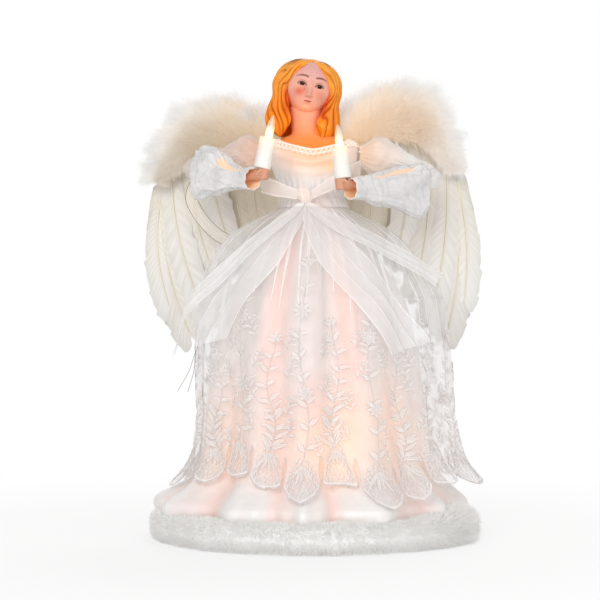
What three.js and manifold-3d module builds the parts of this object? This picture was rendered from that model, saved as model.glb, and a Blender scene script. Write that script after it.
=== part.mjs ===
// Angel tree topper: a lit, dressed doll on a hollow cone that drops over the top of a tree.
// Millimetres, +Z up, the face looks towards -Y. Left and right are the viewer's, so left is -X.
// The origin is the centre of the base, on the surface that the hem and the cone stand on.
import * as THREE from "three";
import { mergeVertices } from "three/addons/utils/BufferGeometryUtils.js";
import Module from "manifold-3d";

const wasm = await Module();
wasm.setup();

// Fits and stock
const FIT = 0.35; // gap between two pieces that touch
const CLOTH = 0.8; // thickness of each layer of cloth
const RIBBON = 0.7; // thickness of the organza ribbon

// Cone that slips over the tree's leader
const CONE_HEIGHT = 204;
const CONE_BASE_RADIUS = 50;
const CONE_TOP_RADIUS = 15;
const CONE_WALL = 1.4;
const RIM_WIDTH = 5;
const RIM_THICKNESS = 2;
const CONE_SIDES = 32;
const WIRE_HOLE_RADIUS = 4;

// Light string: push-in lamps in holders that are clipped through the cone's wall
const LAMP_RINGS = [
  { height: 54, count: 5, turn: 7 },
  { height: 76, count: 3, turn: 40 },
];
const LAMP_RADIUS = 2.5;
const LAMP_LENGTH = 12;
const LAMP_PLUG_RADIUS = 2.1;
const LAMP_PLUG_LENGTH = 8;
const LAMP_COLLAR = 1;
const HOLDER_RADIUS = 4;
const HOLDER_LENGTH = 11; // from the cone's outer face inwards
const HOLDER_FLANGE = 1.4;
const HOLDER_FLANGE_RADIUS = 5.6;
const SMALL_SIDES = 8;
const STRING_RADIUS = 1.1;
const STRING_STEPS = 64;
const STRING_INSET = 1.8; // from the wire to the wall that it climbs
const STRING_CLIMB = [0.24, 0.45, 0.65, 0.78]; // where the wire is held to the wall above the last ring
const GROMMET_HEIGHT = 11;
const GROMMET_RADIUS = 3.2;
const GROMMET_LIP = 1.3;
const GROMMET_BORE = 1.6;

// Fur hem
const FUR_OUTER_RADIUS = 103.5;
const FUR_WIDTH = 24;
const FUR_HEIGHT = 25;
const FUR_SIDES = 40;

// Satin skirt and the embroidered overskirt above it
const WAIST_ABOVE_CONE = 12;
const WAIST_RADIUS = 16.6;
const SKIRT_SIDES = 60;
const SATIN_FOLD = 4.2; // depth of a fold, crest to mean
const SATIN_FOLDS = 12;
const SATIN_HEM_INSET = 15.5; // from the fur's outer edge to the satin's hem
const SATIN_KNEE_RADIUS = 66;
const SATIN_HIP_RADIUS = 54;
const OVER_GAP = 2.4; // air between the satin and the overskirt at the hem
const OVER_FLARE = 20; // how far the loose right side of the overskirt stands off at the hem
const OVER_FLARE_ANGLE = 80; // degrees from the front towards the viewer's right
const OVER_PUFF = 18; // how far the sides of the overskirt stand off below the waist
const OVER_HEM_HEIGHT = 40;
const OVER_HEM_DIP = 7; // the hem hangs lowest a little to the right of the front
const OVER_HEM_DIP_ANGLE = 25;
const SCALLOPS = 18;
const SCALLOP_DEPTH = 4.5;

// Bust: half widths and half depths of the body by height above the cone
const BUST = [
  { z: 0, wide: 15.9, deep: 15.4 },
  { z: 10, wide: 16, deep: 15 },
  { z: 20, wide: 20, deep: 16 },
  { z: 30, wide: 25, deep: 17 },
  { z: 39, wide: 27, deep: 16 },
  { z: 45, wide: 26, deep: 13.5 },
  { z: 49, wide: 19, deep: 10.5 },
  { z: 52, wide: 10.5, deep: 8.6 },
  { z: 57, wide: 8, deep: 7.6 },
  { z: 66, wide: 7.6, deep: 7.4 },
];
const BUST_SIDES = 20;
const PLATE_FRONT = 37; // height of the joint between torso and head casting, at the front
const PLATE_SLOPE = 24; // degrees that the joint rises towards the back
const BODICE_BOTTOM = WAIST_ABOVE_CONE + 1;
const BODICE_EASE = 0.95; // gap between the bust and the bodice, which is cut in straight panels
const NECKLINE_FRONT = 40;
const NECKLINE_SIDE = 46.5;
const LACE_WIDTH = 5;

// Head
const HEAD_CENTRE = 79; // above the cone
const HEAD_WIDE = 15.2;
const HEAD_DEEP = 16;
const HEAD_TALL = 19.5;
const HEAD_LEAN = 9; // degrees to the viewer's right
const HEAD_SHIFT = -3; // the head is set a little to the viewer's left
const HEAD_FORWARD = -1;
const HAIR_THICK = 3.4;
const LOCK_DROP = 28; // how far the side locks hang below the head's centre

// Arms: soft wire in a puffed organza sleeve and a wide brocade cuff, in outward coordinates
const ARMS = [
  { side: "left", mirror: -1, elbow: [76, 2, 32], wrist: [42, -43, 22], foot: [31.5, -49, 27], lean: 12 },
  { side: "right", mirror: 1, elbow: [75, 3, 26], wrist: [28, -43, 17], foot: [18, -49, 21], lean: 6 },
];
const SHOULDER_HEIGHT = 41;
const SHOULDER_BACK = 2;
const ARM_WIRE_RADIUS = 1;
const ARM_HOLE_RADIUS = 3.2; // armhole in the bodice and the lace
const ARM_LEAD_RADIUS = 0.8;
const ARM_LEAD_DROP = 3.2; // the lamp lead hangs this far below the arm wire
const PUFF_RADIUS = 13;
const PUFF_NECK_RADIUS = 5.5;
const PUFF_END_RADIUS = 7.5;
const PUFF_SIDES = 12;
const PUFF_SHARE = 0.25; // how much of the arm the puff covers, from the shoulder
const CUFF_HALF_HEIGHT = 15.5;
const CUFF_HALF_WIDTH = 8.5;
const CUFF_SIDES = 16;
const CUFF_SHARE = 0.84; // how much of the forearm the cuff covers, from the wrist
const HAND_RADIUS = 4.6;
const HAND_WRIST_RADIUS = 3.4;

// Candles
const CANDLE_RADIUS = 5.2;
const CANDLE_WALL = 1.1;
const CANDLE_HEIGHT = 19;
const CANDLE_FLOOR = 1.5;
const CANDLE_HOLDER_LENGTH = 15;
const CANDLE_LAMP_LENGTH = 16;

// Sash, bow and ribbon tails; angles run from the front towards the viewer's right
const SASH_HEIGHT = 7;
const BOW_X = -4;
const BOW_KNOT = { wide: 10, tall: 9, deep: 5 };
const BOW_LOOPS = [
  { side: "left", mirror: -1, reach: 27, rise: 4, belly: 4 },
  { side: "right", mirror: 1, reach: 27, rise: 13, belly: 4 },
];
const BOW_LOOP_WIDTH = 12;
const TAILS = [
  { side: -1, to: -84, drop: 108, width: 11, lift: 13, layer: 2 },
  { side: -1, to: -66, drop: 82, width: 36, lift: 2, layer: 0 },
  { side: 1, to: 46, drop: 90, width: 26, lift: 3, layer: 0 },
  { side: 1, to: 76, drop: 70, width: 18, lift: 4, layer: 2 },
];
const TAIL_LAYER = 2.6; // how far the outer tail of a pair stands off the inner one
const TAIL_CLEAR = 1.5; // how far a tail stands off the skirt's folds
const TAIL_STEPS = 16;
const TAIL_ACROSS = [1, 0.5, 0, -0.5, -1]; // points across a tail, in half widths

// Wings: long feathers and a marabou boa on a wire stem that turns in a bracket on the back
const WING_ROOT = { out: 8, back: 23, height: 40 };
const WING_SWEEP = 14; // degrees back from the shoulder line
const WINGS = [
  { side: "left", mirror: -1, reach: 1.09, tilt: 6, drop: 4 },
  { side: "right", mirror: 1, reach: 1, tilt: 0, drop: 0 },
]; // the left wing is spread wider and hangs lower than the right one
const STEM_RADIUS = 1.1;
const PIN_LENGTH = 9;
const BRACKET_WALL = 2;
const WING_ARCH = [
  [5, 3],
  [24, 23],
  [50, 33],
  [74, 25],
  [88, 2],
  [90, -18],
]; // the stem's arch, outwards and up from the root
const FEATHERS = [
  { at: 0.44, tip: [50, -58], width: 13 },
  { at: 0.54, tip: [57, -78], width: 13 },
  { at: 0.63, tip: [66, -96], width: 14 },
  { at: 0.72, tip: [76, -112], width: 14 },
  { at: 0.8, tip: [88, -122], width: 14 },
  { at: 0.88, tip: [98, -108], width: 13 },
  { at: 0.95, tip: [104, -92], width: 12 },
];
const FEATHER_THICK = 1.2;
const FEATHER_LAYER = 1; // from the front layer of feathers to the back one
const FEATHER_STEPS = 6;
const BOA_RADIUS = 17;
const BOA_DEPTH = 8;
const BOA_SIDES = 10;
const BOA_STEPS = 11;

// Finishes
const finish = (color, roughness, metalness = 0) => ({ color, roughness, metalness });
const FINISH = {
  shell: finish(0xf4f1ea, 0.5),
  wire: finish(0xe9e7e0, 0.45),
  steel: finish(0xb9b9b6, 0.35, 0.9),
  bulb: finish(0xffdf9a, 0.1),
  holder: finish(0xf3f3ee, 0.4),
  rubber: finish(0xefeeea, 0.8),
  satin: finish(0xf8dfd6, 0.3),
  organza: finish(0xf1ecea, 0.55),
  brocade: finish(0xe4e6ea, 0.35),
  ribbon: finish(0xf3ebe8, 0.5),
  lace: finish(0xf6e8d8, 0.7),
  fur: finish(0xededea, 0.95),
  resin: finish(0xf0b48f, 0.4),
  feather: finish(0xf3eee0, 0.8),
  marabou: finish(0xf1e6d2, 0.95),
};

// Geometry helpers

const vec = (x, y, z) => new THREE.Vector3(x, y, z);
const turn = (degrees) => THREE.MathUtils.degToRad(degrees);
const mix = THREE.MathUtils.lerp;

/** The same surface with shared vertices, no empty faces, and its faces pointing out. */
function sealed(geometry) {
  const bare = geometry.clone();
  bare.deleteAttribute("normal");
  bare.deleteAttribute("uv");
  const merged = mergeVertices(bare, 1e-4);
  const ids = merged.index.array;
  const at = merged.getAttribute("position");
  const [a, b, c] = [vec(), vec(), vec()];
  const kept = [];
  let volume = 0;
  for (let i = 0; i < ids.length; i += 3) {
    const [p, q, r] = ids.slice(i, i + 3);
    if (p === q || q === r || r === p) continue;
    kept.push(p, q, r);
    b.fromBufferAttribute(at, q).cross(c.fromBufferAttribute(at, r));
    volume += a.fromBufferAttribute(at, p).dot(b);
  }
  if (volume < 0) kept.reverse();
  merged.setIndex(kept);
  merged.computeVertexNormals();
  return merged;
}

function surface(points, faces) {
  const geometry = new THREE.BufferGeometry().setFromPoints(points);
  geometry.setIndex(faces.flat());
  return sealed(geometry);
}

/** Joins rings of equal length, in order. A looped loft joins its last ring to its first and has no caps. */
function loft(rings, looped = false) {
  const count = rings[0].length;
  const points = rings.flat();
  const faces = [];
  const bands = looped ? rings.length : rings.length - 1;
  for (let i = 0; i < bands; i++) {
    const next = ((i + 1) % rings.length) * count;
    for (let j = 0; j < count; j++) {
      const k = (j + 1) % count;
      faces.push([i * count + j, i * count + k, next + k], [i * count + j, next + k, next + j]);
    }
  }
  if (!looped) {
    for (const start of [0, points.length - count]) {
      const ring = points.slice(start, start + count);
      const middle = ring.reduce((sum, p) => sum.add(p), vec(0, 0, 0)).divideScalar(count);
      const hub = points.push(middle) - 1;
      for (let j = 0; j < count; j++) {
        const edge = [start + j, start + ((j + 1) % count)];
        faces.push(start === 0 ? [hub, edge[1], edge[0]] : [hub, edge[0], edge[1]]);
      }
    }
  }
  return surface(points, faces);
}

/** A wall with open ends, between its outer and inner rings. */
const wall = (outer, inner) => loft([...outer, ...inner.toReversed()], true);

/** A body turned about +Z from [radius, height] points, which end on the axis or close on themselves. */
function turned(profile, sides) {
  const points = profile.map(([radius, height]) => new THREE.Vector2(radius, height));
  return sealed(new THREE.LatheGeometry(points, sides).rotateX(Math.PI / 2));
}

/** A round tube along a curve. */
function cable(points, radius, sides, steps) {
  const section = Array.from({ length: sides }, (_, i) => {
    const angle = (2 * Math.PI * i) / sides;
    return new THREE.Vector2(radius * Math.cos(angle), radius * Math.sin(angle));
  });
  const extrudePath = new THREE.CatmullRomCurve3(points, false, "centripetal");
  const options = { steps, extrudePath, bevelEnabled: false };
  return sealed(new THREE.ExtrudeGeometry(new THREE.Shape(section), options));
}

/** A flat strip: at each stop a point, a half-width vector and a half-thickness vector. */
function strip(stops) {
  return loft(
    stops.map(({ at, across, through }) =>
      [[1, 1], [-1, 1], [-1, -1], [1, -1]].map(([u, w]) =>
        at.clone().addScaledVector(across, u).addScaledVector(through, w),
      ),
    ),
  );
}

/** A thin curved sheet between two grids of points, in rows of equal length, closed round its edge. */
function sheet(outer, inner) {
  const wide = outer[0].length;
  const long = outer.length;
  const points = [...outer.flat(), ...inner.flat()];
  const back = wide * long; // where the inner grid starts
  const faces = [];
  const quad = (a, b, c, d) => faces.push([a, b, c], [a, c, d]);
  const rim = (a, b) => quad(b, a, back + a, back + b);
  for (let i = 0; i < long - 1; i++) {
    for (let j = 0; j < wide - 1; j++) {
      const a = i * wide + j;
      const below = a + wide;
      quad(a, a + 1, below + 1, below);
      quad(back + a, back + below, back + below + 1, back + a + 1);
    }
    rim(i * wide + wide - 1, (i + 1) * wide + wide - 1);
    rim((i + 1) * wide, i * wide);
  }
  for (let j = 0; j < wide - 1; j++) {
    rim(j, j + 1);
    rim(back - wide + j + 1, back - wide + j);
  }
  return surface(points, faces);
}

/** An elliptical ring about a centre, with two half-axis vectors. */
function oval(centre, first, second, sides) {
  return Array.from({ length: sides }, (_, i) => {
    const angle = (2 * Math.PI * i) / sides;
    return centre.clone().addScaledVector(first, Math.cos(angle)).addScaledVector(second, Math.sin(angle));
  });
}

/** A smooth value between stations, each [place, value], in rising order of place. */
function between(stations, place) {
  const last = stations.length - 1;
  let i = 0;
  while (i < last - 1 && place > stations[i + 1][0]) i++;
  const slope = (k) => {
    const low = stations[Math.max(0, k - 1)];
    const high = stations[Math.min(last, k + 1)];
    return (high[1] - low[1]) / (high[0] - low[0]);
  };
  const width = stations[i + 1][0] - stations[i][0];
  const t = THREE.MathUtils.clamp((place - stations[i][0]) / width, 0, 1);
  const rise = 3 * t * t - 2 * t * t * t;
  const lead = (t * t * t - 2 * t * t + t) * slope(i) * width;
  const trail = (t * t * t - t * t) * slope(i + 1) * width;
  return mix(stations[i][1], stations[i + 1][1], rise) + lead + trail;
}

function solidOf(geometry) {
  const whole = sealed(geometry);
  return new wasm.Manifold(
    new wasm.Mesh({
      numProp: 3,
      vertProperties: new Float32Array(whole.getAttribute("position").array),
      triVerts: new Uint32Array(whole.index.array),
    }),
  );
}

function geometryOf(solid) {
  const { vertProperties, triVerts } = solid.getMesh();
  const geometry = new THREE.BufferGeometry();
  geometry.setAttribute("position", new THREE.BufferAttribute(vertProperties, 3));
  geometry.setIndex(new THREE.BufferAttribute(triVerts, 1));
  return sealed(geometry);
}

const less = (geometry, ...tools) =>
  geometryOf(tools.reduce((rest, tool) => rest.subtract(solidOf(tool)), solidOf(geometry)));
const fused = (...pieces) => geometryOf(pieces.map(solidOf).reduce((whole, piece) => whole.add(piece)));
const shared = (a, b) => geometryOf(solidOf(a).intersect(solidOf(b)));

/** A rod along X through a point, for boring holes. */
function crossRod(radius, at) {
  const length = 8 * BUST[4].wide;
  const rod = new THREE.CylinderGeometry(radius, radius, length, SMALL_SIDES);
  return rod.rotateZ(Math.PI / 2).translate(at.x, at.y, at.z);
}

const topper = new THREE.Group();
const upper = new THREE.Group(); // everything above the cone
upper.position.z = CONE_HEIGHT;
topper.add(upper);

function add(parent, name, geometry, material) {
  const mesh = new THREE.Mesh(geometry, new THREE.MeshStandardMaterial(FINISH[material]));
  mesh.name = name;
  parent.add(mesh);
  return mesh;
}

// Cone, lamps and their wiring

const coneSlope = Math.atan2(CONE_BASE_RADIUS - CONE_TOP_RADIUS, CONE_HEIGHT);
const coneRadius = (height) => mix(CONE_BASE_RADIUS, CONE_TOP_RADIUS, height / CONE_HEIGHT);
const coneInset = CONE_WALL / Math.cos(coneSlope); // the wall measured across the axis

/** A point on or off the cone's outer face, with the face's outward direction. */
function onCone(height, angle, out = 0) {
  const outwards = vec(Math.sin(angle), -Math.cos(angle), 0);
  const normal = outwards.clone().multiplyScalar(Math.cos(coneSlope)).setZ(Math.sin(coneSlope));
  const point = outwards.multiplyScalar(coneRadius(height)).setZ(height).addScaledVector(normal, out);
  return { point, normal };
}

/** A group whose origin lies on the cone's face and whose +Z points out of it. */
function coneSeat(height, angle) {
  const { point, normal } = onCone(height, angle);
  const seat = new THREE.Group();
  seat.position.copy(point);
  seat.quaternion.setFromUnitVectors(vec(0, 0, 1), normal);
  seat.updateMatrix();
  topper.add(seat);
  return seat;
}

const lampSeats = LAMP_RINGS.flatMap(({ height, count, turn: first }) =>
  Array.from({ length: count }, (_, i) => ({ height, angle: turn(first + (360 * i) / count) })),
);
const grommetAngle = Math.PI; // at the back

function coneShell() {
  const deck = CONE_HEIGHT - CONE_WALL;
  const profile = [
    [CONE_BASE_RADIUS - coneInset, 0],
    [CONE_BASE_RADIUS + RIM_WIDTH, 0],
    [CONE_BASE_RADIUS + RIM_WIDTH, RIM_THICKNESS],
    [coneRadius(RIM_THICKNESS), RIM_THICKNESS],
    [CONE_TOP_RADIUS, CONE_HEIGHT],
    [WIRE_HOLE_RADIUS, CONE_HEIGHT],
    [WIRE_HOLE_RADIUS, deck],
    [coneRadius(deck) - coneInset, deck],
    [CONE_BASE_RADIUS - coneInset, 0],
  ];
  const bore = (radius, { height, angle }) => {
    const seat = coneSeat(height, angle);
    topper.remove(seat);
    const tool = new THREE.CylinderGeometry(radius, radius, 6 * CONE_WALL, SMALL_SIDES).rotateX(Math.PI / 2);
    return tool.applyMatrix4(seat.matrix);
  };
  const lampHoles = lampSeats.map((seat) => bore(HOLDER_RADIUS + FIT, seat));
  const outlet = bore(GROMMET_RADIUS + FIT, { height: GROMMET_HEIGHT, angle: grommetAngle });
  return less(turned(profile, CONE_SIDES), ...lampHoles, outlet);
}

/** A push-in lamp along +Z: its plug below 0, its collar on 0, and its glass above. */
function lamp(length) {
  const shoulder = LAMP_COLLAR + 1;
  return turned(
    [
      [0, -LAMP_PLUG_LENGTH],
      [LAMP_PLUG_RADIUS, -LAMP_PLUG_LENGTH],
      [LAMP_PLUG_RADIUS, 0],
      [LAMP_RADIUS + 0.5, 0],
      [LAMP_RADIUS + 0.5, LAMP_COLLAR],
      [LAMP_RADIUS - 0.4, LAMP_COLLAR],
      [LAMP_RADIUS, shoulder],
      [LAMP_RADIUS, mix(shoulder, length, 0.55)],
      [0.55 * LAMP_RADIUS, mix(shoulder, length, 0.85)],
      [0, length],
    ],
    SMALL_SIDES,
  );
}

const holderMouth = FIT + HOLDER_FLANGE;

function lampHolder() {
  const bore = LAMP_PLUG_RADIUS + FIT;
  const floor = holderMouth - LAMP_PLUG_LENGTH - FIT;
  return turned(
    [
      [0, -HOLDER_LENGTH],
      [HOLDER_RADIUS, -HOLDER_LENGTH],
      [HOLDER_RADIUS, FIT],
      [HOLDER_FLANGE_RADIUS, FIT],
      [HOLDER_FLANGE_RADIUS, holderMouth],
      [bore, holderMouth],
      [bore, floor],
      [0, floor],
    ],
    SMALL_SIDES,
  );
}

function grommet() {
  const inside = -CONE_WALL - 2 * FIT; // the lip is flat and the wall is curved
  const lip = GROMMET_RADIUS + GROMMET_LIP;
  return turned(
    [
      [GROMMET_BORE, inside - GROMMET_LIP],
      [lip, inside - GROMMET_LIP],
      [lip, inside],
      [GROMMET_RADIUS, inside],
      [GROMMET_RADIUS, FIT],
      [lip, FIT],
      [lip, FIT + GROMMET_LIP],
      [GROMMET_BORE, FIT + GROMMET_LIP],
      [GROMMET_BORE, inside - GROMMET_LIP],
    ],
    SMALL_SIDES,
  );
}

/** The wire runs from the grommet round the backs of both rings of holders, and up into the torso. */
function lightString() {
  const behind = -HOLDER_LENGTH - 2 * FIT - STRING_RADIUS;
  const grommetFace = -CONE_WALL - 3 * FIT - GROMMET_LIP;
  const route = [
    onCone(GROMMET_HEIGHT, grommetAngle, grommetFace).point,
    onCone(GROMMET_HEIGHT, grommetAngle, grommetFace - 4 * STRING_RADIUS).point,
  ];
  for (const { height, count, turn: first } of LAMP_RINGS) {
    const start = turn(first) - Math.PI;
    const pitch = Math.PI / count;
    for (let i = 1; i < 2 * count; i++) {
      route.push(onCone(height, start + i * pitch, behind).point);
    }
  }
  const last = LAMP_RINGS.at(-1);
  const climb = turn(last.turn) + Math.PI; // midway between two holders
  const beside = -CONE_WALL - STRING_INSET - STRING_RADIUS;
  for (const share of STRING_CLIMB) {
    route.push(onCone(mix(last.height, CONE_HEIGHT, share), climb, beside).point);
  }
  for (const offset of [-3, 0, 2]) {
    route.push(vec(0, 0, CONE_HEIGHT + offset * WIRE_HOLE_RADIUS));
  }
  return cable(route, STRING_RADIUS, 5, STRING_STEPS);
}

add(topper, "cone_shell", coneShell(), "shell");
add(topper, "light_string_wire", lightString(), "wire");
add(coneSeat(GROMMET_HEIGHT, grommetAngle), "cord_grommet", grommet(), "rubber");
lampSeats.forEach(({ height, angle }, i) => {
  const seat = coneSeat(height, angle);
  add(seat, `lamp_holder_${i + 1}`, lampHolder(), "holder");
  add(seat, `lamp_${i + 1}`, lamp(LAMP_LENGTH), "bulb").position.z = holderMouth + FIT;
});

// Fur hem, satin skirt and overskirt

function furHem() {
  const corners = 10; // flat at the top and where it stands
  const middle = FUR_OUTER_RADIUS - FUR_WIDTH / 2;
  const reach = 0.5 / Math.cos(Math.PI / corners);
  const profile = Array.from({ length: corners + 1 }, (_, i) => {
    const angle = (2 * Math.PI * (i + 0.5)) / corners;
    return [middle + FUR_WIDTH * reach * Math.sin(angle), FUR_HEIGHT * (0.5 + reach * Math.cos(angle))];
  });
  return turned(profile, FUR_SIDES);
}

const hemHeight = FUR_HEIGHT + FIT;
const satinHemRadius = FUR_OUTER_RADIUS - SATIN_HEM_INSET;
const waistHeight = CONE_HEIGHT + WAIST_ABOVE_CONE;
const SATIN_SHAPE = [
  [0, satinHemRadius],
  [0.05, mix(satinHemRadius, SATIN_KNEE_RADIUS, 0.5)],
  [0.14, SATIN_KNEE_RADIUS],
  [0.34, mix(SATIN_KNEE_RADIUS, SATIN_HIP_RADIUS, 0.35)],
  [0.58, SATIN_HIP_RADIUS],
  [0.8, mix(SATIN_HIP_RADIUS, WAIST_RADIUS, 0.42)],
  [0.94, mix(SATIN_HIP_RADIUS, WAIST_RADIUS, 0.86)],
  [1, WAIST_RADIUS],
];

/** Folds round the skirt, from -1 to 1; the second wave keeps them from being alike. */
const folds = (angle) => 0.65 * Math.cos(SATIN_FOLDS * angle + 0.6) + 0.35 * Math.cos(7 * angle + 2.1);
const gather = (share) => Math.min(1, 3 * (1 - share)) ** 2; // the folds die out into the waist

/** Outer face of the satin skirt at a share of its height. */
const satinRadius = (share, angle) =>
  between(SATIN_SHAPE, share) + CLOTH + SATIN_FOLD * gather(share) * (1 + folds(angle));

/** Share of the skirt's height at a height above the base. */
const skirtShare = (height) => (height - hemHeight) / (waistHeight - hemHeight);

const sashFoot = waistHeight - SASH_HEIGHT;
const OVER_PUFF_SHAPE = [
  [0.3, 0],
  [0.58, 0.4],
  [0.8, 1],
  [0.9, 0.8],
  [skirtShare(sashFoot), 0],
];

/** Outer face of the overskirt, which puffs below the waist and flares on its loose right side. */
function overRadius(share, angle) {
  const side = Math.exp(-(((angle - turn(OVER_FLARE_ANGLE)) / 0.55) ** 2));
  const loose = OVER_FLARE * side * (1 - 0.9 * share);
  const puff = OVER_PUFF * between(OVER_PUFF_SHAPE, share) * mix(0.3, 1, Math.sin(angle) ** 2);
  const own = 0.5 + 0.5 * Math.cos(9 * angle + 1);
  const air = FIT + gather(share) * (OVER_GAP * (1 + own) + loose) + puff;
  return satinRadius(share, angle) + air + CLOTH;
}

const aroundAngle = (i, sides) => (2 * Math.PI * i) / sides - Math.PI;

/** One ring of cloth: radius and height are given for each angle. */
function clothRing(radius, height, sides) {
  return Array.from({ length: sides }, (_, i) => {
    const angle = aroundAngle(i, sides);
    const r = radius(angle);
    return vec(r * Math.sin(angle), -r * Math.cos(angle), height(angle));
  });
}

const SKIRT_ROWS = [0, 0.06, 0.14, 0.35, 0.6, 0.72, 0.83, 0.93, 1]; // shares of the height up to the sash

/** A skirt from its lower edge, a height for every angle, to the waist, with its outer face given. */
function skirt(outer, hem) {
  const ring = (height, inset) =>
    clothRing((angle) => outer(skirtShare(height(angle)), angle) - inset, height, SKIRT_SIDES);
  const stack = (inset) => [
    ...SKIRT_ROWS.map((row) => ring((angle) => mix(Math.max(hemHeight, hem(angle)), sashFoot, row), inset)),
    ring(() => waistHeight, inset),
  ];
  return wall(stack(0), stack(CLOTH));
}

/** The scalloped lower edge of the overskirt, which dips near the front. */
const scallop = (angle) =>
  OVER_HEM_HEIGHT -
  OVER_HEM_DIP * Math.cos(angle - turn(OVER_HEM_DIP_ANGLE)) -
  SCALLOP_DEPTH * Math.abs(Math.cos((SCALLOPS / 2) * angle));

add(topper, "fur_hem", furHem(), "fur");
add(topper, "underskirt", skirt(satinRadius, () => hemHeight), "satin");
add(topper, "overskirt", skirt(overRadius, scallop), "organza");

// Bust, bodice and head

const bustHalf = (key, z) => between(BUST.map((s) => [s.z, s[key]]), z);
const bustShift = (z) => HEAD_SHIFT * THREE.MathUtils.smoothstep(z, BUST[5].z, BUST[8].z);
const bustRing = (z) =>
  oval(vec(bustShift(z), 0, z), vec(bustHalf("wide", z), 0, 0), vec(0, bustHalf("deep", z), 0), BUST_SIDES);

/** A large block whose lower face is the sloped joint between torso and head casting. */
function aboveJoint(lift) {
  const size = 4 * PLATE_FRONT;
  const block = new THREE.BoxGeometry(size, size, size).translate(0, 0, size / 2);
  const frontDepth = bustHalf("deep", PLATE_FRONT);
  return block.rotateX(turn(PLATE_SLOPE)).translate(0, -frontDepth, PLATE_FRONT + lift);
}

const bustBody = () => loft(BUST.map(({ z }) => bustRing(z)));

function torso() {
  const wireBore = new THREE.CylinderGeometry(WIRE_HOLE_RADIUS, WIRE_HOLE_RADIUS, PLATE_FRONT, SMALL_SIDES);
  wireBore.rotateX(Math.PI / 2);
  const shoulders = crossRod(ARM_WIRE_RADIUS + FIT, vec(0, SHOULDER_BACK, SHOULDER_HEIGHT));
  const lifted = bustBody().translate(0, 0, FIT);
  return less(lifted, aboveJoint(0), wireBore, shoulders);
}

/** Top edge of the bodice: a shallow V at the front, higher at the shoulders and back. */
const neckline = (angle) =>
  mix(NECKLINE_SIDE, NECKLINE_FRONT, Math.max(0, Math.cos(angle)) ** 3);

/** Rings of cloth round the bust from one edge to another, standing off it by grow. */
function bustCloth(low, high, rows, grow) {
  return Array.from({ length: rows + 1 }, (_, row) =>
    Array.from({ length: BUST_SIDES }, (_, i) => {
      const angle = aroundAngle(i, BUST_SIDES);
      const z = mix(low(angle), high(angle), row / rows);
      const out = grow + (z > BUST[5].z ? (z - BUST[5].z) * 0.35 : 0);
      const x = (bustHalf("wide", z) + out) * Math.sin(angle);
      return vec(x, -(bustHalf("deep", z) + out) * Math.cos(angle), z);
    }),
  );
}

function bodice() {
  const cloth = (grow) => bustCloth(() => BODICE_BOTTOM, neckline, 5, grow);
  const shell = wall(cloth(BODICE_EASE + CLOTH), cloth(BODICE_EASE));
  return less(shell, crossRod(ARM_HOLE_RADIUS, vec(0, SHOULDER_BACK, SHOULDER_HEIGHT)));
}

function necklineLace() {
  const inner = BODICE_EASE + CLOTH + FIT;
  const cloth = (grow) => bustCloth((a) => neckline(a) - LACE_WIDTH, (a) => neckline(a) + 0.4, 2, grow);
  const shell = wall(cloth(inner + CLOTH), cloth(inner));
  return less(shell, crossRod(ARM_HOLE_RADIUS, vec(0, SHOULDER_BACK, SHOULDER_HEIGHT)));
}

/** Head, hair and breastplate are one casting; the hair falls in waved locks on both sides. */
function headCasting() {
  const plate = shared(bustBody(), aboveJoint(FIT));
  const egg = new THREE.SphereGeometry(1, 16, 10).rotateX(Math.PI / 2).scale(HEAD_WIDE, HEAD_DEEP, HEAD_TALL);
  const crown = new THREE.SphereGeometry(1, 14, 8).rotateX(Math.PI / 2);
  crown.scale(HEAD_WIDE + HAIR_THICK, HEAD_DEEP, HEAD_TALL).translate(0, HAIR_THICK, HAIR_THICK);
  const lock = (side) => {
    const stations = [
      { x: 13, y: 2, z: 10, r: 7 },
      { x: 17, y: 1, z: -2, r: 7 },
      { x: 16, y: 0, z: -12, r: 6.5 },
      { x: 17, y: -1, z: -20, r: 6.5 },
      { x: 14, y: -2, z: -LOCK_DROP, r: 4 },
    ];
    return loft(
      stations.map(({ x, y, z, r }) => oval(vec(side * x, y, z), vec(r, 0, 0), vec(0, 1.35 * r, 0), 10)),
    );
  };
  const fall = loft(
    [[10, 15], [-4, 18], [-16, 17], [-LOCK_DROP, 12]].map(([z, wide]) =>
      oval(vec(0, 7, z), vec(wide, 0, 0), vec(0, 11, 0), 12),
    ),
  );
  const seated = (geometry) => geometry.rotateY(turn(HEAD_LEAN)).translate(HEAD_SHIFT, 0, HEAD_CENTRE);
  const hair = seated(fused(crown, lock(-1), lock(1), fall));
  const face = seated(egg.translate(0, HEAD_FORWARD, 0));
  return fused(plate, face, hair);
}

add(upper, "torso_core", torso(), "shell");
add(upper, "head_casting", headCasting(), "resin");
add(upper, "bodice", bodice(), "satin");
add(upper, "neckline_lace", necklineLace(), "lace");

// Sash, bow and ribbon tails

const overAt = (above, angle) => overRadius(skirtShare(CONE_HEIGHT + above), angle);

function sash() {
  const edges = [WAIST_ABOVE_CONE - SASH_HEIGHT, WAIST_ABOVE_CONE];
  const stack = (grow) =>
    edges.map((z) => clothRing((angle) => overAt(z, angle) + grow, () => z, SKIRT_SIDES / 2));
  const inner = 2 * FIT;
  return wall(stack(inner + RIBBON), stack(inner));
}

const bowHeight = WAIST_ABOVE_CONE - SASH_HEIGHT / 2;
const bowFront = -(overAt(bowHeight - SASH_HEIGHT / 2, 0) + 3 * FIT + RIBBON + BOW_KNOT.deep / 2);

/** A knot with a soft waist, flat below where the tails leave it. */
function bowKnot() {
  const { wide, tall, deep } = BOW_KNOT;
  const rings = [
    [-0.5, 0.88],
    [-0.3, 1],
    [0, 0.92],
    [0.3, 1],
    [0.5, 0.8],
  ];
  return loft(
    rings.map(([z, grow]) =>
      oval(vec(0, 0, z * tall), vec((grow * wide) / 2, 0, 0), vec(0, (grow * deep) / 2, 0), 12),
    ),
  );
}

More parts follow.
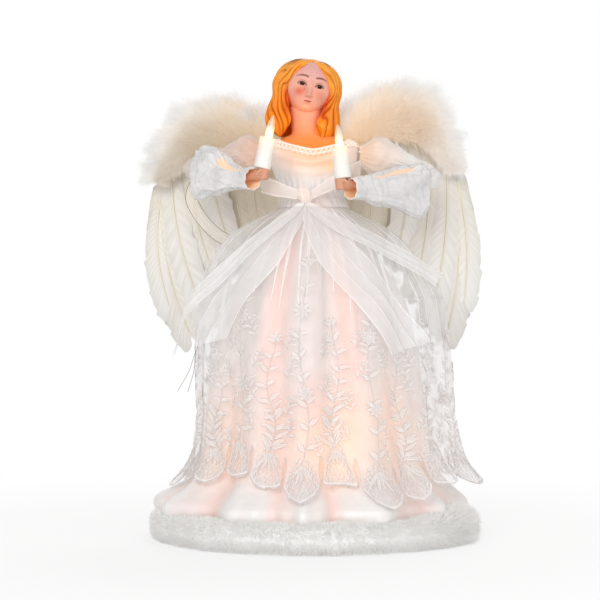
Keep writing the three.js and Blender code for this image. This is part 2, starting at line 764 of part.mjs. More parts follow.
/** A loop of ribbon seen from above: out along the front, round its end, and back behind. */
function bowLoop({ reach, rise, belly }) {
  const start = BOW_KNOT.wide / 2 + FIT;
  const stops = 14;
  const plan = [
    [0, -0.6],
    [0.3, -0.9 * belly],
    [0.75, -belly],
    [1, 0],
    [0.75, 0.45 * belly],
    [0.3, 0.3 * belly],
    [0, 0.8],
  ];
  const line = new THREE.CatmullRomCurve3(
    plan.map(([share, y]) => vec(start + share * reach, y, share * rise)),
  );
  return strip(
    Array.from({ length: stops + 1 }, (_, i) => {
      const at = line.getPointAt(i / stops);
      const along = line.getTangentAt(i / stops);
      const spread = mix(0.55, 1, Math.min(1, (at.x - start) / (0.6 * reach)));
      const across = vec(0, 0, (BOW_LOOP_WIDTH / 2) * spread);
      const through = across.clone().cross(along).setLength(RIBBON / 2);
      return { at, across, through };
    }),
  );
}

/** A ribbon tail from under the knot down over the overskirt, which it leaves at its end. */
function ribbonTail({ side, to, drop, width, lift, layer }) {
  const top = bowHeight - BOW_KNOT.tall / 2 - FIT;
  const narrow = BOW_KNOT.wide / 5;
  const knotted = vec(BOW_X + side * (narrow + FIT), bowFront + (0.5 - layer) * (RIBBON + FIT), 0);
  const from = Math.atan2(knotted.x, -knotted.y);
  const stops = Array.from({ length: TAIL_STEPS + 1 }, (_, i) => {
    const share = i / TAIL_STEPS;
    const z = top - drop * share;
    const angle = mix(from, turn(to), share ** 0.8);
    const half = mix(narrow, width / 2, Math.min(1, 2 * share));
    const spread = half / overAt(z, angle);
    const reach = Math.max(...TAIL_ACROSS.map((k) => overAt(z - 2, angle + k * spread)));
    const loose = TAIL_CLEAR * gather(skirtShare(CONE_HEIGHT + z)) + lift * share ** 2;
    const radius = reach + 3 * FIT + RIBBON / 2 + layer * TAIL_LAYER + loose;
    return { share, z, angle, half, radius };
  });
  const tied = knotted.length() - stops[0].radius; // how far the knot holds the top off the skirt
  const rows = (offset) =>
    stops.map(({ share, z, angle, half, radius }) => {
      const held = radius + tied * (1 - THREE.MathUtils.smoothstep(share, 0, 0.16));
      return TAIL_ACROSS.map((k) => {
        const bearing = angle + (k * half) / held;
        const out = held + offset;
        return vec(out * Math.sin(bearing), -out * Math.cos(bearing), z);
      });
    });
  return sheet(rows(RIBBON / 2), rows(-RIBBON / 2));
}

add(upper, "waist_sash", sash(), "ribbon");
const bow = new THREE.Group();
bow.position.set(BOW_X, bowFront, bowHeight);
upper.add(bow);
add(bow, "bow_knot", bowKnot(), "ribbon");
for (const loop of BOW_LOOPS) {
  const half = new THREE.Group();
  half.scale.x = loop.mirror;
  bow.add(half);
  add(half, `bow_loop_${loop.side}`, bowLoop(loop), "ribbon");
}
TAILS.forEach((tail, i) => add(upper, `ribbon_tail_${i + 1}`, ribbonTail(tail), "ribbon"));

// Arms, hands and candles

const puffStart = bustHalf("wide", SHOULDER_HEIGHT) + BODICE_EASE + CLOTH + 2 * FIT;
const shoulder = vec(0, SHOULDER_BACK, SHOULDER_HEIGHT);

/** Unit vectors across a direction: one as level as it can be, and one as upright. */
function crossAxes(along) {
  const level = vec(0, 0, 1).cross(along).normalize();
  return { level, upright: along.clone().cross(level).normalize() };
}

/** The arm's middle line, from inside the shoulder to the wrist, dropped by a distance. */
function armLine({ elbow, wrist }, start, drop) {
  const inner = vec(start, shoulder.y, shoulder.z - drop);
  const socket = vec(puffStart, shoulder.y, shoulder.z - drop);
  const upperArm = vec(mix(puffStart, elbow[0], 0.5), shoulder.y, mix(shoulder.z, elbow[2], 0.3) - drop);
  const bend = vec(elbow[0], elbow[1], elbow[2] - drop);
  const fore = vec(...elbow).lerp(vec(...wrist), 0.5);
  fore.z -= drop;
  const end = vec(...wrist).setZ(wrist[2] - 0.72 * drop);
  const straight = start < puffStart ? [inner, inner.clone().lerp(socket, 0.5), socket] : [socket];
  return [...straight, upperArm, bend, fore, end];
}

/** Puffed organza sleeve from the shoulder to just outside the cuff's mouth. */
function puff(arm) {
  const line = new THREE.CatmullRomCurve3(armLine(arm, puffStart, ARM_LEAD_DROP / 2));
  const swell = [
    [0, PUFF_NECK_RADIUS],
    [0.35, PUFF_RADIUS],
    [0.65, mix(PUFF_RADIUS, PUFF_END_RADIUS, 0.25)],
    [1, PUFF_END_RADIUS],
  ];
  const rings = (inset) =>
    Array.from({ length: 7 }, (_, i) => {
      const share = i / 6;
      const along = i === 0 ? vec(1, 0, 0) : line.getTangentAt(PUFF_SHARE * share);
      const { level, upright } = crossAxes(along);
      const r = between(swell, share) - inset;
      const centre = line.getPointAt(PUFF_SHARE * share);
      return oval(centre, level.multiplyScalar(r), upright.multiplyScalar(r), PUFF_SIDES);
    });
  return wall(rings(0), rings(CLOTH));
}

/** Brocade cuff: small at the wrist, tall and flat at the open end by the elbow. */
function cuff({ elbow, wrist }) {
  const [mouth, end] = [vec(...elbow), vec(...wrist)];
  const { level, upright } = crossAxes(mouth.clone().sub(end).normalize());
  const band = HAND_WRIST_RADIUS + FIT + CLOTH; // gathered round the hand's wrist
  const shape = [
    { share: 0, high: band, wide: band, sag: 0 },
    { share: 0.12, high: mix(band, CUFF_HALF_HEIGHT, 0.2), wide: mix(band, CUFF_HALF_WIDTH, 0.45), sag: 0.4 },
    { share: 0.35, high: mix(band, CUFF_HALF_HEIGHT, 0.48), wide: mix(band, CUFF_HALF_WIDTH, 0.8), sag: 1.2 },
    { share: 0.6, high: mix(band, CUFF_HALF_HEIGHT, 0.75), wide: CUFF_HALF_WIDTH, sag: 2.2 },
    { share: 0.85, high: mix(band, CUFF_HALF_HEIGHT, 0.94), wide: CUFF_HALF_WIDTH, sag: 2.6 },
    { share: 1, high: CUFF_HALF_HEIGHT, wide: CUFF_HALF_WIDTH - 1, sag: 2.6 },
  ];
  const rings = (inset) =>
    shape.map(({ share, high, wide, sag }) => {
      const centre = end.clone().lerp(mouth, CUFF_SHARE * share);
      centre.z -= sag;
      const first = level.clone().multiplyScalar(wide - inset);
      return oval(centre, first, upright.clone().multiplyScalar(high - inset), CUFF_SIDES);
    });
  return wall(rings(0), rings(CLOTH));
}

/** A closed hand from the wrist to the flat that the candle stands on. */
function hand({ wrist, foot, lean }) {
  const [start, top] = [vec(...wrist), vec(...foot)];
  const axis = vec(-Math.sin(turn(lean)), 0, Math.cos(turn(lean)));
  const reach = top.clone().sub(start).setZ(0).normalize();
  const begin = start.clone().addScaledVector(reach, FIT);
  const palm = vec(mix(start.x, top.x, 0.8), mix(start.y, top.y, 0.8), top.z - 1.5 * HAND_RADIUS);
  const rings = [
    { at: begin, along: reach, r: HAND_WRIST_RADIUS },
    { at: begin.clone().lerp(palm, 0.5), along: vec(reach.x, reach.y, 0.1), r: HAND_WRIST_RADIUS + 0.5 },
    { at: palm, along: vec(0.7 * reach.x, 0.7 * reach.y, 0.7), r: HAND_RADIUS },
    { at: top.clone().addScaledVector(axis, -0.7 * HAND_RADIUS), along: axis, r: HAND_RADIUS },
    { at: top.clone().addScaledVector(axis, -FIT), along: axis, r: 0.85 * HAND_RADIUS },
  ];
  const level = vec(0, 0, 1).cross(reach).normalize();
  return loft(
    rings.map(({ at, along, r }) => {
      const up = along.clone().normalize().cross(level).normalize();
      const flat = up.clone().cross(along).normalize();
      return oval(at, flat.multiplyScalar(r), up.multiplyScalar(r), 10);
    }),
  );
}

function candleTube() {
  const bore = CANDLE_RADIUS - CANDLE_WALL;
  return turned(
    [
      [ARM_LEAD_RADIUS + FIT, 0],
      [CANDLE_RADIUS, 0],
      [CANDLE_RADIUS, CANDLE_HEIGHT],
      [bore, CANDLE_HEIGHT],
      [bore, CANDLE_FLOOR],
      [ARM_LEAD_RADIUS + FIT, CANDLE_FLOOR],
      [ARM_LEAD_RADIUS + FIT, 0],
    ],
    16,
  );
}

const candleHolderTop = CANDLE_FLOOR + FIT + CANDLE_HOLDER_LENGTH;

function candleHolder() {
  const outer = CANDLE_RADIUS - CANDLE_WALL - FIT;
  const bore = LAMP_PLUG_RADIUS + FIT;
  const floor = candleHolderTop - LAMP_PLUG_LENGTH - FIT;
  return turned(
    [
      [0, CANDLE_FLOOR + FIT],
      [outer, CANDLE_FLOOR + FIT],
      [outer, candleHolderTop],
      [bore, candleHolderTop],
      [bore, floor],
      [0, floor],
    ],
    SMALL_SIDES,
  );
}

for (const arm of ARMS) {
  const limb = new THREE.Group();
  limb.scale.x = arm.mirror;
  upper.add(limb);
  const wireStart = 0.45 * bustHalf("wide", SHOULDER_HEIGHT);
  add(limb, `arm_wire_${arm.side}`, cable(armLine(arm, wireStart, 0), ARM_WIRE_RADIUS, 6, 16), "steel");
  const lead = cable(armLine(arm, puffStart, ARM_LEAD_DROP), ARM_LEAD_RADIUS, 5, 14);
  add(limb, `candle_lead_${arm.side}`, lead, "wire");
  add(limb, `sleeve_puff_${arm.side}`, puff(arm), "organza");
  add(limb, `sleeve_cuff_${arm.side}`, cuff(arm), "brocade");
  add(limb, `hand_${arm.side}`, hand(arm), "resin");
  const candle = new THREE.Group();
  candle.position.set(...arm.foot);
  candle.rotation.y = -turn(arm.lean);
  limb.add(candle);
  add(candle, `candle_tube_${arm.side}`, candleTube(), "shell");
  add(candle, `candle_holder_${arm.side}`, candleHolder(), "holder");
  const flame = add(candle, `candle_lamp_${arm.side}`, lamp(CANDLE_LAMP_LENGTH), "bulb");
  flame.position.z = candleHolderTop + FIT;
}

// Wings, in wing coordinates: x outwards, z up, y back, from the pin that the wing turns on

/** A point of the wing's plane, spread, tilted and lowered as its own wing is. */
const onWing = ({ reach, tilt, drop }, [out, up]) =>
  vec(reach * out, 0, up).applyAxisAngle(vec(0, 1, 0), turn(tilt)).sub(vec(0, 0, drop));
const archOf = (wing) => new THREE.CatmullRomCurve3(WING_ARCH.map((point) => onWing(wing, point)));
const stemBack = 2 * FEATHER_LAYER + FIT + STEM_RADIUS;

/** A saddle cut to the back of the bodice, with a lug for each wing's pin. */
function wingBracket() {
  const tall = PIN_LENGTH - 1;
  const barrel = STEM_RADIUS + FIT + BRACKET_WALL;
  const { out, back, height } = WING_ROOT;
  const saddle = new THREE.BoxGeometry(2 * out, back, tall).translate(0, back / 2, height);
  const dressed = BODICE_EASE + 2 * CLOTH + 2 * FIT;
  const body = loft(bustCloth(() => height - tall, () => height + tall, 6, dressed));
  const post = (x, radius, length) =>
    new THREE.CylinderGeometry(radius, radius, length, 12).rotateX(Math.PI / 2).translate(x, back, height);
  const lugs = [-out, out].map((x) => post(x, barrel, tall));
  const holes = [-out, out].map((x) => post(x, STEM_RADIUS + FIT, 2 * PIN_LENGTH));
  return less(fused(saddle, ...lugs), body, ...holes);
}

/** The stem: a pin down through the bracket, then the arch that carries the feathers. */
function wingStem(arch) {
  const knee = PIN_LENGTH / 2 + STEM_RADIUS + FIT;
  const route = [
    vec(0, 0, -PIN_LENGTH / 2),
    vec(0, 0, 0),
    vec(0, 0.2, knee),
    vec(1.5 * STEM_RADIUS, 0.4 * stemBack, knee + 2.5 * STEM_RADIUS),
    ...[0.1, 0.3, 0.5, 0.7, 0.86, 1].map((share) => arch.getPointAt(share).setY(stemBack)),
  ];
  return cable(route, STEM_RADIUS, 6, 20);
}

/** One flat feather, from the arch to its tip, in the front or the back layer. */
function feather(wing, { at, tip, width }, layer) {
  const root = archOf(wing).getPointAt(at);
  const end = onWing(wing, tip);
  const swing = vec(mix(root.x, end.x, 0.35) + 0.1 * (root.z - end.z), 0, mix(root.z, end.z, 0.5));
  const rib = new THREE.QuadraticBezierCurve3(root, swing, end);
  const y = layer * FEATHER_LAYER + FEATHER_THICK / 2;
  const outline = [
    [0, 0.45],
    [0.3, 0.85],
    [0.7, 1],
    [0.9, 0.8],
    [1, 0.2],
  ];
  return strip(
    Array.from({ length: FEATHER_STEPS + 1 }, (_, i) => {
      const share = (i / FEATHER_STEPS) ** 0.85;
      const along = rib.getTangentAt(share);
      const across = vec(along.z, 0, -along.x).setLength((width / 2) * between(outline, share));
      return { at: rib.getPointAt(share).setY(y), across, through: vec(0, FEATHER_THICK / 2, 0) };
    }),
  );
}

const wingFeathers = (wing) => fused(...FEATHERS.map((one, i) => feather(wing, one, i % 2)));

/** Marabou boa along the front of the arch. */
function wingBoa(arch) {
  const swell = [
    [0, 0.35],
    [0.2, 0.8],
    [0.5, 1],
    [0.8, 0.8],
    [1, 0.45],
  ];
  const y = -FIT - BOA_DEPTH;
  return loft(
    Array.from({ length: BOA_STEPS }, (_, i) => {
      const share = mix(0.1, 1, i / (BOA_STEPS - 1));
      const along = arch.getTangentAt(share);
      const r = between(swell, share);
      const across = vec(along.z, 0, -along.x).setLength(BOA_RADIUS * r);
      return oval(arch.getPointAt(share).setY(y), across, vec(0, BOA_DEPTH * r, 0), BOA_SIDES);
    }),
  );
}

add(upper, "wing_bracket", wingBracket(), "shell");
for (const wing of WINGS) {
  const { side, mirror } = wing;
  const arch = archOf(wing);
  const hung = new THREE.Group();
  hung.position.set(mirror * WING_ROOT.out, WING_ROOT.back, WING_ROOT.height);
  hung.rotation.z = mirror * turn(WING_SWEEP);
  hung.scale.x = mirror;
  upper.add(hung);
  add(hung, `wing_stem_${side}`, wingStem(arch), "steel");
  add(hung, `wing_feathers_${side}`, wingFeathers(wing), "feather");
  add(hung, `wing_marabou_${side}`, wingBoa(arch), "marabou");
}

export default topper;
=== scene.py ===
import math

import bpy
import numpy as np
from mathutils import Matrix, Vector


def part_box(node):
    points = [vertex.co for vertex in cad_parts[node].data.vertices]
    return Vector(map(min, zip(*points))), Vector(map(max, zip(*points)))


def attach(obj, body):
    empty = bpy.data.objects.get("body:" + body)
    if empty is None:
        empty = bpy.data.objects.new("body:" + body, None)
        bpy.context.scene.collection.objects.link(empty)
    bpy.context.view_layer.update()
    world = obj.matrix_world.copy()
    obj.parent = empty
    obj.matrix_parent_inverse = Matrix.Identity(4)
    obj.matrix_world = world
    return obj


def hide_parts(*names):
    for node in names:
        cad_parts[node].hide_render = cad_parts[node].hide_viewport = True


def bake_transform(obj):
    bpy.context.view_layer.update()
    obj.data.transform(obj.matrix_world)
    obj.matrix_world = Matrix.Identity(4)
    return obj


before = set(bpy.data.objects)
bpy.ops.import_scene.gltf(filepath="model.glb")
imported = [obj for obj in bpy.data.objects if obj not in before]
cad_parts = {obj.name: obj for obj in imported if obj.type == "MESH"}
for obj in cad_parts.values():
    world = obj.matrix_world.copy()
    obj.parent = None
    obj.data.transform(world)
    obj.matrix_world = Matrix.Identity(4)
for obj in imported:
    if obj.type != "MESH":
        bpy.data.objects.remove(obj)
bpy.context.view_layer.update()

# Lengths below are millimetres in the frame of the part: +Z up, the face looks towards -Y.
# Left and right are the viewer's. Angles round the figure run from the front towards +X.
MM = 0.001

# The photograph's view
CAMERA_PLACE = (-8.3, -1250, 150.5)
CAMERA_LENS = 117.9
CAMERA_SENSOR = 36
# Lamps: name, place and aim in metres, size and power
LIGHTS = [
    ("key", (-0.4, -1.5, 0.75), (0, 0, 0.16), 0.8, 12),
    ("fill", (0.8, -1.4, 0.35), (0, 0, 0.16), 0.9, 5),
    ("back", (0.3, 1.0, 1.0), (0, 0, 0.18), 0.8, 6),
]
WORLD_COLOUR, WORLD_STRENGTH = (1, 0.99, 0.98, 1), 0.5
FLOOR_HALF = 3000
FLOOR_GREY = (0.9, 0.9, 0.9)
# The floor turns to plain white between two distances in metres, from a share to the whole
FLOOR_FADE = {"From Min": 0.1, "From Max": 0.5, "To Min": 0.72, "To Max": 1.0}

# The gap between neighbours, and the thickness of cloth and ribbon
FIT = 0.35
CLOTH = 0.8
RIBBON = 0.7

# Skirts
HEM_Z, WAIST_Z = (corner[2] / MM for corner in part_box("underskirt"))
CONE_HEIGHT = 204
CONE_BASE_RADIUS, CONE_TOP_RADIUS = 50, 15
SATIN_HEM, SATIN_KNEE, SATIN_HIP, WAIST_RADIUS = 88, 66, 54, 16.6
SATIN_FOLD = 4.2
SATIN_FOLDS = 12
OVER_GAP = 2.4
OVER_FLARE = 20
OVER_FLARE_ANGLE = math.radians(80)
OVER_PUFF = 18
LOBE_DEPTH = 22
LOBE_FIRST = math.radians(-5)
# Heights of the points of the hem's lobes, from the front one towards +X
LOBE_TIPS = [31, 40, 27, 30, 38, 36, 33, 37, 35, 38, 36, 39, 37, 35, 38, 34, 37, 33, 36, 39, 44, 38]
LOBES = len(LOBE_TIPS)
LOBE_OUTLINE = [
    (0, 1),
    (0.1, 0.94),
    (0.28, 0.86),
    (0.5, 0.9),
    (0.68, 0.92),
    (0.82, 0.82),
    (0.93, 0.56),
    (1, 0),
]
PLEATS = 21
PLEAT_TURN, PLEAT_RISE = 0.03, 1.9
FOLD_ENDS = (88, 160)  # the heights between which the pleats' pale lines end
FOLD_LIFT = 0.45
SASH_LOW, SASH_HIGH = 209, 219.5
BELL_DROP, VALLEY_DROP = 10.5, 10  # how far the satin's bells and the valleys between them hang into the fur
BELL_OUT, VALLEY_OUT = 0.5, -6.0  # how far they stand out from the skirt's line at the hem
HEM_SHOULDER, HEM_BULGE = 3, 7

# Bust, by height above the cone: half width and half depth
BUST_Z = (0, 10, 20, 30, 39, 45, 49, 52, 57, 66)
BUST_WIDE = list(zip(BUST_Z, (15.9, 16, 20, 25, 27, 26, 19, 10.5, 8, 7.6)))
BUST_DEEP = list(zip(BUST_Z, (15.4, 15, 16, 17, 16, 13.5, 10.5, 8.6, 7.6, 7.4)))
BODICE_BOTTOM = 13
BODICE_EASE = 0.95
NECKLINE_FRONT = 40.5
NECKLINE_SIDE = 47.5
SHOULDER_TOP = 45
LACE_WIDTH = 4.2

# Head
HEAD_CENTRE = (-3, 0, 283)
HEAD_WIDE, HEAD_DEEP, HEAD_TALL = 15.2, 16, 19.5
HEAD_LEAN = math.radians(9)
HEAD_FORWARD = -1

# Arms, in outward coordinates above the cone
ARMS = {
    "left": {"mirror": -1, "elbow": (76, 2, 32), "wrist": (42, -43, 22), "foot": (31.5, -49, 27), "lean": 12},
    "right": {"mirror": 1, "elbow": (75, 3, 26), "wrist": (28, -43, 17), "foot": (18, -49, 21), "lean": 6},
}
SHOULDER = (2, 41)  # back and up
ARM_LEAD_DROP = 3.2
PUFF_SHARE, SLEEVE_SHARE = 0.25, 0.64  # where the puff and the whole sleeve end along the arm
PUFF_SWELL = [(0, 5.5), (0.35, 13), (0.65, 11.6), (1, 7.5)]
SLEEVE_SLIM = [(0, 7.2), (0.5, 6.4), (1, 5)]
CUFF_SHARE = 0.84
CANDLE_RADIUS, CANDLE_BORE, CANDLE_HEIGHT = 5.2, 4.1, 19
CANDLE_SEAT = 17.2  # from a candle's foot to its lamp's collar
LAMP_RADIUS = 2.5
CANDLE_LAMP_LENGTH, SKIRT_LAMP_LENGTH = 16, 12
SKIRT_LAMP_SEAT = 2  # from a skirt lamp's collar to its middle
# Shares along a lamp's glass, and its radius there as a share of the most
GLASS_SWELL = [(0, 0.08, 0.5, 0.75, 0.92, 1), (0.8, 1, 1, 0.72, 0.32, 0.08)]

# Bow and ribbons
BOW = (-5.5, 216)  # x and height of the knot
BOW_KNOT = (8, 5.5, 9)
BOW_LOOPS = {"left": (-1, 23, 6.5, 4), "right": (1, 31, 17, 4)}  # mirror, reach, rise, belly
BOW_LOOP_WIDTH = 10
RIBBON_EDGE = 0.9
TAILS = [
    {"side": -1, "to": -80, "drop": 94, "width": 13, "lift": 7, "layer": 2, "creases": (0.1,)},
    {"side": -1, "to": -60, "drop": 88, "width": 34, "lift": 1, "layer": 0, "creases": (-0.4, 0.2)},
    {"side": 1, "to": 46, "drop": 90, "width": 28, "lift": 3, "layer": 0, "creases": (-0.35, 0.25)},
    {"side": 1, "to": 70, "drop": 48, "width": 18, "lift": 2, "layer": 2, "creases": (-0.3, 0.3)},
]
FRAYED_TAIL = 2  # counted from 1
THREAD_ENDS = [(-84.6, 94), (-78.5, 93)]  # where its two loose threads end
SIDE_LOOP = [
    (-48, 22, 186),
    (-62, 19, 193),
    (-73, 15, 205),
    (-78, 13, 216),
    (-75, 14, 225),
    (-66, 17, 229),
]
SIDE_LOOP_WIDTH = 7.6
TAIL_LAYER = 2.6
TAIL_CLEAR = 1.5

# Wings, in the plane of each wing
WING_ROOT = (8, 23, 244)
WING_SWEEP = math.radians(14)
WINGS = {
    "left": {
        "mirror": -1,
        "reach": 1.09,
        "tilt": math.radians(6),
        "drop": 4,
        "length": 0.9,
        "spread": 0.95,
        "bare": 0.6,  # how much the marabou thins towards its lower end
        "until": 0.86,  # where along the arch the marabou ends
    },
    "right": {
        "mirror": 1,
        "reach": 1,
        "tilt": 0,
        "drop": 0,
        "length": 1,
        "spread": 1,
        "bare": 1.3,
        "until": 0.92,
    },
}
WING_ARCH = [(5, 3), (24, 23), (50, 33), (74, 25), (88, 2), (90, -18)]
# Where each long feather starts along the arch, its tip and its width
FEATHERS = [
    (0.46, (48, -66), 22),
    (0.58, (60, -88), 23),
    (0.7, (70, -108), 24),
    (0.84, (83, -117), 23),
    (0.97, (95, -94), 19),
]
BOA_IN, BOA_OUT, BOA_DEPTH = 22, 10.5, 8

# Fur
FUR_MIDDLE = 91.5
FUR_HALF_WIDTH, FUR_HALF_HEIGHT = 10.5, 8.6
FUR_CENTRE_Z = 9.6
FUR_SQUARE = 0.72  # 1 for an oval section, less for a squarer one
FUR_SEAM = math.radians(66)  # where the trim's ends meet and the pile is longer
FUR_LOWEST = 0.2
# Least and most length and width of a hair of the fur, a barb of the down and a wisp
FUR_LENGTH, FUR_WIDTH = (1.3, 3.4), (0.2, 0.34)
DOWN_LENGTH, DOWN_WIDTH = (5, 9.5), (0.22, 0.36)
WISP_LENGTH, WISP_WIDTH = (6, 16), (0.14, 0.22)
# How many different tufts there are: along and round the fur, along and across the down, along the wisps
FUR_TUFTS, DOWN_TUFTS, WISP_TUFTS = (97, 31), (41, 13), 67

# Seeds of the random draws
SEEDS = {"satin": 21, "pleats": 25, "stitches": 31, "fur_front": 41, "fur_back": 42}
SEEDS.update({"puff": 90, "cuff": 95, "feathers": 120, "marabou": 140})

# Colours, linear
WHITE = (0.86, 0.86, 0.85)
SATIN_WHITE = (0.86, 0.84, 0.83)
# The satin's pink is painted light where the lamps shine through it, and painted shade in the hem's valleys
SATIN_PINK = (0.86, 0.58, 0.51)
SATIN_LAMPLIT = (0.84, 0.62, 0.42)
SKIRT_STREAKS = (-0.42, 0.37)  # where the lit satin shows between the tails, in radians
SATIN_GLOW, LAMP_LIGHT = (1.0, 0.45, 0.33), (1.0, 0.62, 0.25)
SKIN = (0.85, 0.43, 0.33)
# SKIN_WARM is the skin in the candles' warm light, painted on the lower face; it is also the base of the
# hands' colour
SKIN_WARM = (0.92, 0.40, 0.23)
# Hair: amber lower down is painted warm light; russet in the grooves, ember beside the face and at the ends,
# and the crown's brown are painted shade
GOLD, AMBER, RUSSET = (0.98, 0.44, 0.06), (0.93, 0.27, 0.006), (0.45, 0.06, 0.003)
EMBER = (0.66, 0.055, 0.002)
CROWN_SHADE = (0.13, 0.055, 0.018)
ORGANZA_TINT, FOLD_TINT = (0.92, 0.91, 0.905), (0.96, 0.955, 0.95)
FEATHER_CREAM, VANE_WHITE = (0.8, 0.74, 0.62), (0.9, 0.895, 0.885)
# The down's tan on each side; the right one is warmer as painted candle light
DOWN_TAN = {"left": (0.76, 0.685, 0.575), "right": (0.9, 0.77, 0.635)}
DOWN_CREAM, WISP_WHITE = (0.93, 0.91, 0.885), (0.9, 0.9, 0.895)
DOWN_LIGHT = 0.07
GLASS_TINT, GLASS_LIGHT = (1.0, 0.93, 0.8), (1.0, 0.74, 0.36)
FILAMENT_TINT, FILAMENT_LIGHT = (1, 0.85, 0.6), (1.0, 0.66, 0.28)
PLUG_TINT, WING_GLOW = (0.8, 0.78, 0.72), (1.0, 0.68, 0.36)
FUR_BACKING = (0.93, 0.925, 0.915)
FUR_TINT, FUR_LIGHT = (0.86, 0.852, 0.84), (0.07, 0.07, 0.067)

BACK, DOWN = np.array((0, 1.0, 0)), np.array((0, 0, -1.0))


def seeded(use, mirror=0):
    return np.random.default_rng(SEEDS[use] + mirror)


# Numbers and curves


def mix(a, b, share):
    """A value or a colour between two."""
    a, b = np.asarray(a, float), np.asarray(b, float)
    return a + (b - a) * share


def hill(offset, width):
    """1 at no offset, falling smoothly to 0 over about two widths."""
    return np.exp(-((offset / width) ** 2))


def circle(count, start=0.0):
    """Angles at even steps once round."""
    return np.linspace(start, start + 2 * math.pi, count, endpoint=False)


def band(rows, cols, start=-math.pi):
    """Angles once round, as a row, and shares from 0 to 1, as a column."""
    return circle(cols, start)[None], np.linspace(0, 1, rows)[:, None]


def ease(value, low=0.0, high=1.0):
    """0 below low, 1 above high, smooth between."""
    t = np.clip((np.asarray(value, float) - low) / (high - low), 0, 1)
    return t * t * (3 - 2 * t)


def between(stations, place):
    """A smooth value between stations, each (place, value); a value may be an array."""
    at = np.array([station[0] for station in stations], float)
    value = np.array([station[1] for station in stations], float)
    place = np.asarray(place, float)
    whole = (...,) + (None,) * (value.ndim - 1)
    high = np.minimum(np.arange(len(at)) + 1, len(at) - 1)
    low = np.maximum(np.arange(len(at)) - 1, 0)
    slope = (value[high] - value[low]) / (at[high] - at[low])[whole]
    i = np.clip(np.searchsorted(at, place) - 1, 0, len(at) - 2)
    width = (at[i + 1] - at[i])[whole]
    t = np.clip((place[whole] - at[i][whole]) / width, 0, 1)
    lead = (t**3 - 2 * t**2 + t) * slope[i] * width
    trail = (t**3 - t**2) * slope[i + 1] * width
    return mix(value[i], value[i + 1], 3 * t**2 - 2 * t**3) + lead + trail


def unit(vectors):
    vectors = np.asarray(vectors, float)
    return vectors / np.maximum(np.linalg.norm(vectors, axis=-1, keepdims=True), 1e-9)


def path_length(line):
    return np.linalg.norm(np.diff(line, axis=0), axis=1).sum()


def resampled(line, count):
    """The same line with points at even distances."""
    run = np.concatenate([[0], np.cumsum(np.linalg.norm(np.diff(line, axis=0), axis=1))])
    want = np.linspace(0, run[-1], count)
    return np.stack([np.interp(want, run, line[:, k]) for k in range(3)], 1)


def lerp(a, b, start, end, place):
    """The value at a place, when it is a at start and b at end."""
    return (a * (end - place) + b * (place - start)) / (end - start)


def curve(points, count):
    """Points at even distances on a smooth curve through the given ones."""
    p = np.array(points, float)
    p = np.vstack([2 * p[0] - p[1], p, 2 * p[-1] - p[-2]])
    knot = np.concatenate([[0], np.cumsum(np.linalg.norm(np.diff(p, axis=0), axis=1) ** 0.5)])
    line = []
    for i in range(1, len(p) - 2):
        t = np.linspace(knot[i], knot[i + 1], 25)[:, None]
        spans = [(i - 1, i), (i, i + 1), (i + 1, i + 2)]
        level = [lerp(p[a], p[b], knot[a], knot[b], t) for a, b in spans]
        level = [lerp(level[k], level[k + 1], knot[i - 1 + k], knot[i + 1 + k], t) for k in range(2)]
        line.append(lerp(level[0], level[1], knot[i], knot[i + 1], t))
    return resampled(np.vstack(line), count)


def transported(path):
    """Tangents of a path, with two cross directions that don't twist along it."""
    along = unit(np.gradient(path, axis=0))
    first = np.cross(along[0], (0.3, 0.2, 1.0))
    across = [first / np.linalg.norm(first)]
    for direction in along[1:]:
        kept = across[-1] - direction * (across[-1] @ direction)
        across.append(kept / max(np.linalg.norm(kept), 1e-9))
    across = np.array(across)
    return along, across, np.cross(along, across)


def waves(rng, count, low, high):
    """Random frequencies and phases for a smooth wobble."""
    return rng.uniform(low, high, count), rng.uniform(0, 2 * math.pi, count)


def wobble(values, frequencies, phases):
    return sum(np.sin(f * values + p) for f, p in zip(frequencies, phases)) / len(frequencies)


# Meshes


def grid_faces(rows, cols, around=False, closed=False):
    """Quads of a grid of points; around joins the last column to the first, and closed the last row too."""
    last_row, last_col = (rows, cols) if closed else (rows - 1, cols if around else cols - 1)
    i, j = np.meshgrid(np.arange(last_row), np.arange(last_col), indexing="ij")
    k, n = (j + 1) % cols, (i + 1) % rows
    return np.stack([i * cols + j, i * cols + k, n * cols + k, n * cols + j], -1).reshape(-1, 4)


def tube_faces(rows, cols):
    """Quads round a tube and a fan on each end, whose middle points follow the rings."""
    ring = np.arange(cols)
    following = (ring + 1) % cols
    last = (rows - 1) * cols
    start = np.stack([np.full(cols, rows * cols), following, ring], 1)
    end = np.stack([np.full(cols, rows * cols + 1), last + ring, last + following], 1)
    return [grid_faces(rows, cols, around=True), start, end]


